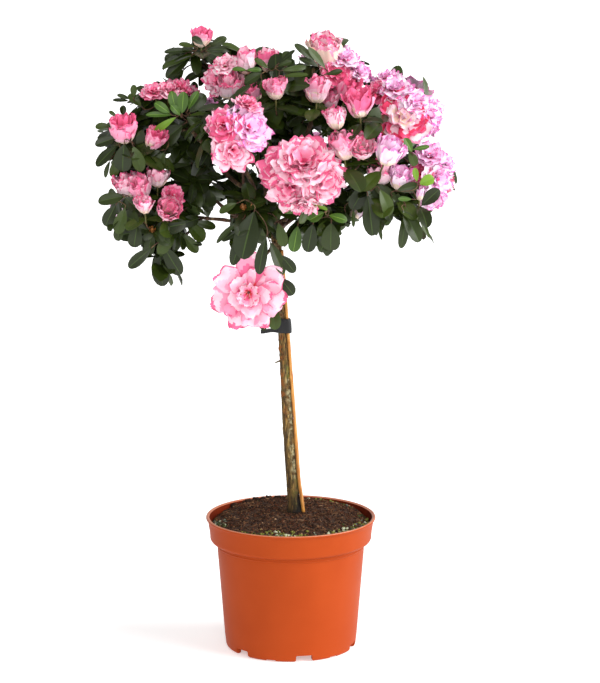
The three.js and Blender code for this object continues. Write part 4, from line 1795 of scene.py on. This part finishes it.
BLADES = {
    "crest_left": (
        (-96, 600, -86, 27, 7), (-103, 597, -115, 19, 7), (-97, 595, -128, 32, 12),
        (-94, 604, -72, 15, 6), (-81, 601, 84, 24, 7), (-78, 605, 60, 18, 8),
        (-81, 599, 106, 18, 7), (-84, 597, 122, 19, 10), (-85, 606, -50, 13, 8, 1, 14),
        (-82, 581, -108, 25, 8),
    ),
    "left_upper": (
        (-153, 555, 0, 12, 7), (-157, 553, -68, 13, 5), (-158, 551, -80, 16, 4),
        (-146, 546, -40, 17, 9, 0.5), (-164, 537, 5, 10, 7), (-112, 541, -12, 20, 10, 0.25, 14),
        (-106, 539, 4, 21, 11, 0.25, 18), (-100, 543, 24, 20, 8, 0.25, 14),
        (-118, 539, -50, 18, 9, 0.2, 16), (-108, 537, -35, 13, 8, 0.25, 20),
        (-116, 537, -83, 25, 6, 0.25, 16), (-112, 535, -120, 33, 8, 0.1, 18),
        (-106, 527, -128, 31, 19, 1, 12), (-101, 535, 122, 27, 15, 1, 16),
        (-98, 540, 38, 23, 13, 1, 12),
    ),
    "left_shoulder": (
        (-170, 536, -55, 9, 4), (-177, 527, -92, 14, 7), (-170, 515, -106, 22, 11),
        (-170, 507, -130, 28, 12), (-168, 498, -165, 24, 10, 1, 2),
        (-163, 508, -173, 27, 18, 1, 8), (-184, 499, -150, 12, 4), (-177, 492, -155, 18, 5),
        (-154, 506, 160, 25, 13, 1, 4), (-128, 502, -105, 21, 8, 1, 4),
        (-124, 500, -150, 23, 14, 1, 4),
    ),
    "left_skirt": (
        (-163, 457, -97, 26, 13, 0.6), (-172, 448, -150, 23, 13), (-163, 456, 130, 21, 13, 1, 4),
        (-163, 445, -162, 26, 13), (-168, 430, -172, 17, 10), (-151, 427, -170, 21, 14),
    ),
    "left_tip": (
        (-138, 405, -130, 28, 12, 1, 12), (-129, 406, 178, 38, 19, 1, 18),
        (-126, 408, 148, 35, 15, 1, 14), (-130, 409, -100, 17, 10, 1, 6),
        (-107, 420, 138, 24, 11), (-102, 430, 128, 24, 15), (-98, 411, 98, 11, 5),
        (-94, 431, 98, 21, 9),
    ),
    "low_left": (
        (-53, 450, -112, 19, 8), (-49, 433, -125, 33, 6), (-49, 424, -118, 21, 7),
        (-45, 426, -161, 38, 13), (-36, 441, -163, 46, 25, 1, 8), (-24, 416, -165, 37, 12, 1, 26),
        (-20, 411, 155, 33, 12, 1, 4), (-9, 398, 140, 21, 11, 1, 4),
        (-12, 430, 165, 24, 11, 1, 8),
    ),
    "hanging_spray": (
        (-10, 375, 140, 21, 13, 1, -20), (-19, 348, 170, 24, 14, 1, -18),
        (-43, 345, -125, 18, 9, 1, -26), (-33, 337, 150, 16, 7, 1, -26),
    ),
    "low_middle": (
        (-26, 437, 135, 33, 12, 1, 8), (-28, 448, 102, 37, 10, 1, 8),
        (40, 430, 182, 28, 19, 1, 12), (22, 429, 192, 28, 15, 1, 8),
        (7, 427, 190, 26, 13, 0.28, 6), (33, 441, -115, 16, 10, 0.22, 24),
        (38, 438, 100, 18, 10, 0.2, 24), (10, 437, -68, 23, 8, 1, 12),
    ),
    "right_skirt": (
        (62, 445, 180, 18, 4), (54, 441, 165, 15, 6), (76, 457, 172, 38, 17, 1, 8),
        (85, 443, 172, 29, 4), (88, 463, 150, 27, 14, 1, 12), (88, 447, 130, 19, 10, 1, 4),
        (113, 443, 182, 40, 10), (111, 443, 150, 34, 16, 1, 6), (65, 489, 100, 15, 11, 1, 4),
        (62, 485, 175, 21, 12), (74, 470, -155, 30, 16, 1, 2), (76, 467, 153, 28, 16, 1, 4),
        (80, 469, 120, 28, 13, 1, 2), (125, 439, 150, 25, 5), (123, 442, 98, 15, 5, 1, 4),
        (129, 448, 45, 23, 13, 1, 10), (77, 465, -48, 18, 6, 0.25, 16),
        (105, 463, 75, 21, 10, 1, 8), (127, 469, 60, 15, 11, 0.05, 24),
        (124, 472, -10, 13, 6, 0.1, 24), (119, 454, -85, 13, 5, 0.25, 10),
    ),
    "face_right": (
        (119, 501, -25, 15, 8, 0.25, 10), (120, 503, 75, 16, 5, 0.15, 10),
        (116, 502, 150, 17, 9, 1, 8),
    ),
    "crest_middle": (
        (-11, 588, 48, 20, 5), (-12, 585, 65, 14, 6), (-7, 581, 78, 23, 6), (-8, 575, 80, 25, 5),
        (-22, 583, -48, 16, 6), (-28, 578, -115, 19, 11), (-28, 572, 165, 17, 8),
    ),
    "crest_mid_left": ((-43, 581, 80, 15, 5, 0.28, 12), (-43, 581, -75, 14, 5, 0.28, 12)),
    "crest_right": (
        (23, 590, -42, 25, 8, 1, 10), (34, 583, -36, 26, 8, 1, 14), (27, 585, -60, 20, 7, 1, 8),
        (35, 577, 75, 16, 6, 1, 16), (79, 564, -45, 16, 7, 1, 8), (78, 559, -65, 16, 6, 1, 8),
    ),
}
# Where the sky shows through: x, z and radius in millimetres, placed as a Blade's foot is.
AIR = MM * np.array([
    (-130, 622, 26), (-138, 581, 15), (-167, 576, 14), (-199, 483, 9), (-179, 416, 8),
    (-160, 398, 6), (-145, 374, 9), (-100, 386, 8), (-79, 414, 14), (-65, 447, 7), (9, 611, 12),
    (5, 594, 5), (96, 422, 12), (137, 404, 9), (147, 431, 11), (27, 387, 13), (-198, 522, 8),
    (-165, 404, 9), (123, 398, 8), (156, 505, 7), (-53, 616, 9), (49, 400, 9), (60, 414, 10),
    (65, 608, 12), (123, 583, 9), (-145, 388, 5), (-114, 378, 5), (149, 440, 7), (-197, 505, 8),
    (-186, 423, 6), (-70, 430, 6), (55, 426, 6), (132, 573, 7), (-37, 611, 9), (-103, 618, 5),
    (147, 561, 8), (103, 432, 7),
])
# Share of a mass's seeded shoots that may flower, where it isn't a half.
FLOWERING = {
    "crest_right": 0.85, "right_upper": 0.9, "right_shoulder": 0.85, "left_tip": 0.0,
    "crest_left": 0.1, "left_upper": 0.0, "back_left": 0.75, "back_middle": 0.75,
    "back_right": 0.8,
}
# Millimetres between shoots, where it isn't 23.
SPACING = {"left_tip": 60, "right_tip": 40, "crest_left": 44, "low_left": 34}


def by_hand(mass: str) -> list[Site | Tuft | Blade]:
    """What the tables above list for a mass."""
    tables = ((Site, SITES), (Tuft, TUFTS), (Blade, BLADES))
    return [kind(*row) for kind, table in tables for row in table.get(mass, ())]


@dataclass
class Shoot:
    """The end of a shoot: where it is, which way it points and what it carries.

    Inside marks one deep in its mass, placed a listed tuft, and shown a listed flower on the side
    that faces the camera.
    """

    tip: Array
    axis: Array
    load: Site | Tuft | Blade
    inside: bool = False
    placed: bool = False
    shown: bool = False

    def ball(self) -> Array:
        """The room that its flower takes up.

        Returns:
            The middle, the radius, and where the middle is seen if it is shown.
        """
        size = self.load.size * MM
        rise = {OPEN: 0.22, DOUBLE: 0.2, ROSETTE: 0.3}.get(self.load.stage, 0.5)
        middle = self.tip + self.axis * rise * size
        return np.concatenate([middle, [0.4 * size], seen(middle) if self.shown else (9.0, 9.0)])


@dataclass
class Spray:
    """One mass of the crown: its shoots, twigs, leaves and flowers."""

    mass: Mass
    seed: int
    leaf: float = 36 * MM
    lattice: int = 240

    def __post_init__(self) -> None:
        """Seeds the spray's own chance and takes its mass's habit."""
        self.name, self.middle = self.mass.name, self.mass.middle
        self.chance = random.Random(self.seed)
        self.leaves, self.flowers = Leaves(self.chance), Flowers(self.chance)
        self.twigs = Gathering()
        self.spacing = SPACING.get(self.name, 23) * MM
        self.flowering = FLOWERING.get(self.name, 0.5)
        self.small = self.name in ("hanging_spray", "left_tip", "right_tip", "crest_left")

    def sited(self) -> list[Shoot]:
        """The shoots whose flowers or leaves are listed.

        Returns:
            The shoots.
        """
        made = []
        for load in by_hand(self.name):
            if isinstance(load, Blade):
                made.append(self.bladed(load))
                continue
            turn, lift = math.radians(load.turn), math.radians(load.lift)
            level = math.cos(lift)
            way = np.array([math.sin(turn) * level, -math.cos(turn) * level, math.sin(lift)])
            place, normal = self.mass.skin(way)
            if isinstance(load, Tuft):
                tip = place - way * 0.4 * load.length * MM
                made.append(Shoot(tip, unit(way + 0.3 * UP), load, placed=True))
                continue
            axis = unit((1 - abs(load.upright)) * unit(normal + way) + load.upright * UP)
            sunk = {OPEN: 0.2, DOUBLE: 0.34, ROSETTE: 0.42}.get(load.stage, 0.62)
            tip = place - axis * load.size * MM * sunk
            shown = abs(load.turn) < 90 and load.stage is not OPEN
            made.append(Shoot(tip, axis, load, shown=shown))
        return made

    def bladed(self, blade: Blade) -> Shoot:
        """The shoot of one listed leaf, on the skin of the mass or level with its middle.

        Args:
            blade: The leaf.

        Returns:
            Its shoot.
        """
        sight = np.array([blade.x * MM, 0, blade.z * MM]) - EYE
        place, _, _, _ = self.mass.surface.ray_cast(Vector(EYE), Vector(unit(sight)))
        reach = (self.middle[1] if place is None else place[1] + 3 * MM) - blade.near * MM
        foot = EYE + sight * (reach - EYE[1]) / -EYE[1]
        turn = math.radians(blade.heading)
        return Shoot(foot, unit(np.array([math.sin(turn), -0.2, math.cos(turn)])), blade)

    def flower_for(self, level: float, outwards: Array, place: Array) -> Site | None:
        """Deals a seeded shoot its flower, or none.

        Args:
            level: How high on the mass the shoot stands, from -1 to 1.
            outwards: The way that it faces.
            place: Where it leaves the mass.

        Returns:
            The flower, or nothing for a leafy shoot or one that faces into the crown.
        """
        chance = self.chance
        crest = level > 0.5 and self.middle[1] < 60 * MM
        if outwards[1] < 0.05 or crest or level < -0.45 or chance.random() > self.flowering:
            return None
        stage = chance.choices((DOUBLE, ROSETTE, CUP, BUD), (4, 3, 4, 1))[0]
        tint = chance.choices((BLUSH, PALE, SOFT, LILAC, MIST, ROSE), (4, 4, 3, 3, 3, 1))[0]
        size = {DOUBLE: 42, ROSETTE: 33, CUP: 27, BUD: 16}[stage] * chance.uniform(0.85, 1.2)
        return Site(0, 0, size, stage, tint) if outwards @ unit(place - HEART) > 0.4 else None

    def grown(self, others: list[Mass], taken: list[Shoot]) -> list[Shoot]:
        """Seeds the rest of the shoots over the mass's open skin.

        Args:
            others: The masses round it, whose insides are passed over.
            taken: Shoots that are there already.

        Returns:
            The new shoots.
        """
        chance = self.chance
        made: list[Shoot] = []
        start = chance.uniform(0, 6.3)
        order = list(range(self.lattice))
        chance.shuffle(order)
        opened = any(isinstance(s.load, Site) and s.load.stage is OPEN for s in taken)
        for k in order:
            level = 1 - 2 * (k + 0.5) / self.lattice
            turn = start + k * GOLDEN_ANGLE
            flat = math.sqrt(1 - level * level)
            way = np.array([flat * math.cos(turn), flat * math.sin(turn), level])
            place, normal = self.mass.skin(way)
            outwards = unit(normal * 0.5 + way * 0.8)
            size = self.leaf * chance.uniform(0.85, 1.15)
            inset = size * (0.42 + 0.45 * max(0.0, -float(outwards[2])))
            tip = place - outwards * (inset + chance.uniform(-3, 3) * MM)
            if any(gap(s.tip, tip) < self.room(s) for s in taken + made):
                continue
            if opened and outwards[1] < 0.1:
                continue
            if any(other.depth(place + normal * 4 * MM) > -3 * MM for other in others):
                continue
            load = self.flower_for(level, outwards, place)
            if load is None:
                fresh = 0.6 if chance.random() < 0.07 and outwards[1] > 0.2 else 0.0
                load = Tuft(0, 0, size / MM, fresh, chance.choice((6, 7, 8)))
            else:
                sunk = {DOUBLE: 0.3, ROSETTE: 0.4}.get(load.stage, 0.55)
                tip = place - outwards * load.size * sunk * MM
            lean = 0.55 if level > -0.2 else 0.1
            axis = unit(outwards + lean * UP + 0.15 * scatter(chance))
            made.append(Shoot(tip, axis, load))
        return made

    def room(self, shoot: Shoot) -> float:
        """How far the next shoot keeps from one.

        Args:
            shoot: The one that is in place.

        Returns:
            The distance.
        """
        if isinstance(shoot.load, Site):
            return max(self.spacing * 0.85, shoot.load.size * MM * 0.62)
        return self.spacing if isinstance(shoot.load, Tuft) else 9 * MM

    def inner(self) -> list[Shoot]:
        """Shoots deeper in the mass, which close it behind the outer leaves.

        Returns:
            The shoots.
        """
        made = []
        for _ in range(3 if self.small else 9):
            way = unit(scatter(self.chance))
            if self.small:
                way[2] = 0.5 + abs(way[2])
            place, _ = self.mass.skin(unit(way))
            tip = self.middle + (place - self.middle) * self.chance.uniform(0.25, 0.6)
            if self.name == "hanging_spray":
                tip[1] = self.middle[1] + 6 * MM
            made.append(Shoot(tip, unit(way + 0.4 * UP), Tuft(0, 0, 30), True))
        return made

    def droop(self, shoot: Shoot) -> float:
        """How strongly a shoot's leaves hang: most on the skirts and under a mass.

        Args:
            shoot: The shoot.

        Returns:
            The droop, from nought to about one.
        """
        high = (self.middle[2] - 0.43) / 0.17
        droop = mix(0.55, 0.1, min(1.0, max(0.0, high))) * self.chance.uniform(0.5, 1.2)
        droop += 0.35 if shoot.tip[2] < self.middle[2] - 12 * MM else 0.0
        return droop * (0.45 if shoot.placed else 1.0)

    def dress(self, shoots: list[Shoot], clear: Array) -> None:
        """Grows the leaves and the flower of every shoot.

        Args:
            shoots: All of the mass's shoots.
            clear: Middle and radius of every flower's room, which leaves keep out of.
        """
        flowers = [s for s in shoots if isinstance(s.load, Site)]
        for shoot in shoots:
            droop, load, tip, axis = self.droop(shoot), shoot.load, shoot.tip, shoot.axis
            self.leaves.clear = clear
            if isinstance(load, Blade):
                rolled = self.chance.uniform(-0.35, 0.35) * np.cross(FRONT, axis)
                above, breadth = unit(FRONT + 0.5 * UP + rolled), load.breadth * MM
                self.leaves.leaf(tip, axis, above, load.length * MM, load.age, breadth=breadth)
            elif isinstance(load, Tuft):
                form = INNER_LEAF if shoot.inside else OUTER_LEAF
                if load.fresh and shoot.placed:
                    self.leaves.clear = clear[:0]
                habit = (droop, load.fresh, 22 if load.fresh else 38, form)
                self.leaves.rosette(tip, axis, load.count, load.length * MM, *habit)
                if load.bud:
                    self.flowers.scaly_bud(tip, unit(axis + UP), load.bud * MM)
            else:
                self.flowers.flower(tip, axis, load.size * MM, load.stage, load.tint)
                if load.stage is not OPEN:
                    near = [s for s in flowers if 0 < gap(s.tip, tip) < 30 * MM]
                    self.collar(shoot, len(near), droop * 0.5)

    def collar(self, shoot: Shoot, near: int, droop: float) -> None:
        """Grows the leaves behind a flower, fewer where others stand near.

        Args:
            shoot: The flower's shoot.
            near: How many flowers stand near it.
            droop: How strongly the leaves hang.
        """
        load = shoot.load
        crowded = shoot.shown and near > 1 and load.stage is DOUBLE
        count = 0 if crowded else max(2, 7 - 2 * near)
        size = self.leaf * self.chance.uniform(0.85, 1.1)
        foot = shoot.tip - shoot.axis * (2.5 * MM + 0.05 * load.size * MM)
        inner = 84 if load.stage in (ROSETTE, DOUBLE) else 68
        self.leaves.rosette(foot, shoot.axis, count, size, droop, 0.0, inner)

    def branch(self, shoots: list[Shoot], root: Array, girth: float) -> None:
        """Joins every shoot to the bough's end by twigs, the nearest first.

        Args:
            shoots: The shoots to reach.
            root: Where the bough enters the mass.
            girth: The bough's radius there.
        """
        spine = np.linspace(root, self.middle, 8)
        thick = np.linspace(girth, girth * 0.6, 8)
        self.twigs.add(*tube(spine, thick, 8))
        for shoot in sorted(shoots, key=lambda s: float(gap(s.tip, root))):
            foot = shoot.tip - shoot.axis * (11 * MM if isinstance(shoot.load, Site) else 3 * MM)
            joint = int(np.argmin(gap(spine, foot) + 0.3 * gap(spine, root)))
            start = spine[joint]
            reach = float(gap(foot, start))
            if reach < 1 * MM:
                continue
            pull = foot - shoot.axis * reach * 0.4
            pull = pull + scatter(self.chance) * reach * 0.06
            share = np.linspace(0, 1, 7)[:, None]
            path = start * (1 - share) ** 2 + 2 * pull * share * (1 - share) + foot * share**2
            fine = (0.5 if isinstance(shoot.load, Blade) else 0.75) * MM
            base = min(thick[joint] * 0.85, fine + 0.15 * MM + reach * 0.012)
            radii = np.linspace(base, fine, 7)
            tail = np.linspace(foot, shoot.tip, 3)[1:]
            self.twigs.add(*tube(np.vstack([path, tail]), np.append(radii, [fine] * 2), 6))
            spine, thick = np.vstack([spine, path[1:]]), np.append(thick, radii[1:])

    def finish(self) -> None:
        """Makes the mass's pieces."""
        name = self.name
        leafage = self.leaves.shape.piece(f"leaves_{name}", palette(Leafage))
        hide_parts(f"foliage_{name}")
        bark = bpy.data.materials["bough_bark"]
        self.twigs.piece(f"twigs_{name}", [bark])
        if self.flowers.shape.count:
            self.flowers.shape.piece(f"blossom_{name}", palette(Pink))
        shapes = (self.leaves.shape, self.flowers.shape, self.twigs)
        log.info("%s: %d leaf, %d blossom and %d twig faces", name, *(s.total() for s in shapes))


@dataclass
class Crown:
    """The whole head of the plant: every mass with its shoots."""

    framework: Framework

    def root_of(self, mass: Mass) -> tuple[Array, float]:
        """Where the nearest bough ends, and its radius there."""
        ends = [(limb.path[-1], float(limb.radii[-1])) for limb in self.framework.boughs.values()]
        return min(ends, key=lambda end: float(gap(end[0], mass.middle)))

    def build(self) -> None:
        """Grows every mass."""
        masses = [Mass.of(n) for n in sorted(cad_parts) if n.startswith("foliage_")]
        sprays = [Spray(mass, 100 + index) for index, mass in enumerate(masses)]
        growth = []
        for spray in sprays:
            others = [m for m in masses if 0 < gap(m.middle, spray.middle) < 130 * MM]
            shoots = spray.sited()
            shoots += spray.grown(others, shoots)
            growth.append(shoots + spray.inner())
        flowers = [s for shoots in growth for s in shoots if isinstance(s.load, Site)]
        clear = np.array([s.ball() for s in flowers])
        for spray, shoots in zip(sprays, growth):
            root, girth = self.root_of(spray.mass)
            spray.branch(shoots, root, min(girth, 1.6 * MM))
            spray.dress(shoots, clear)
            spray.finish()


def main() -> None:
    """Builds the plant, piece by piece, and notes its size."""
    logging.basicConfig(level=logging.INFO, format="%(relativeCreated)6d ms %(name)s %(message)s")
    make_effects()
    Studio().build()
    Pot().build()
    log.info("pot done")
    Compost().build()
    log.info("compost done")
    framework = Framework()
    framework.build()
    cane = Cane().build()
    Tie().build(framework.stem, cane)
    log.info("stem, boughs, cane and tie done")
    Crown(framework).build()


if __name__ == "__main__":
    main()
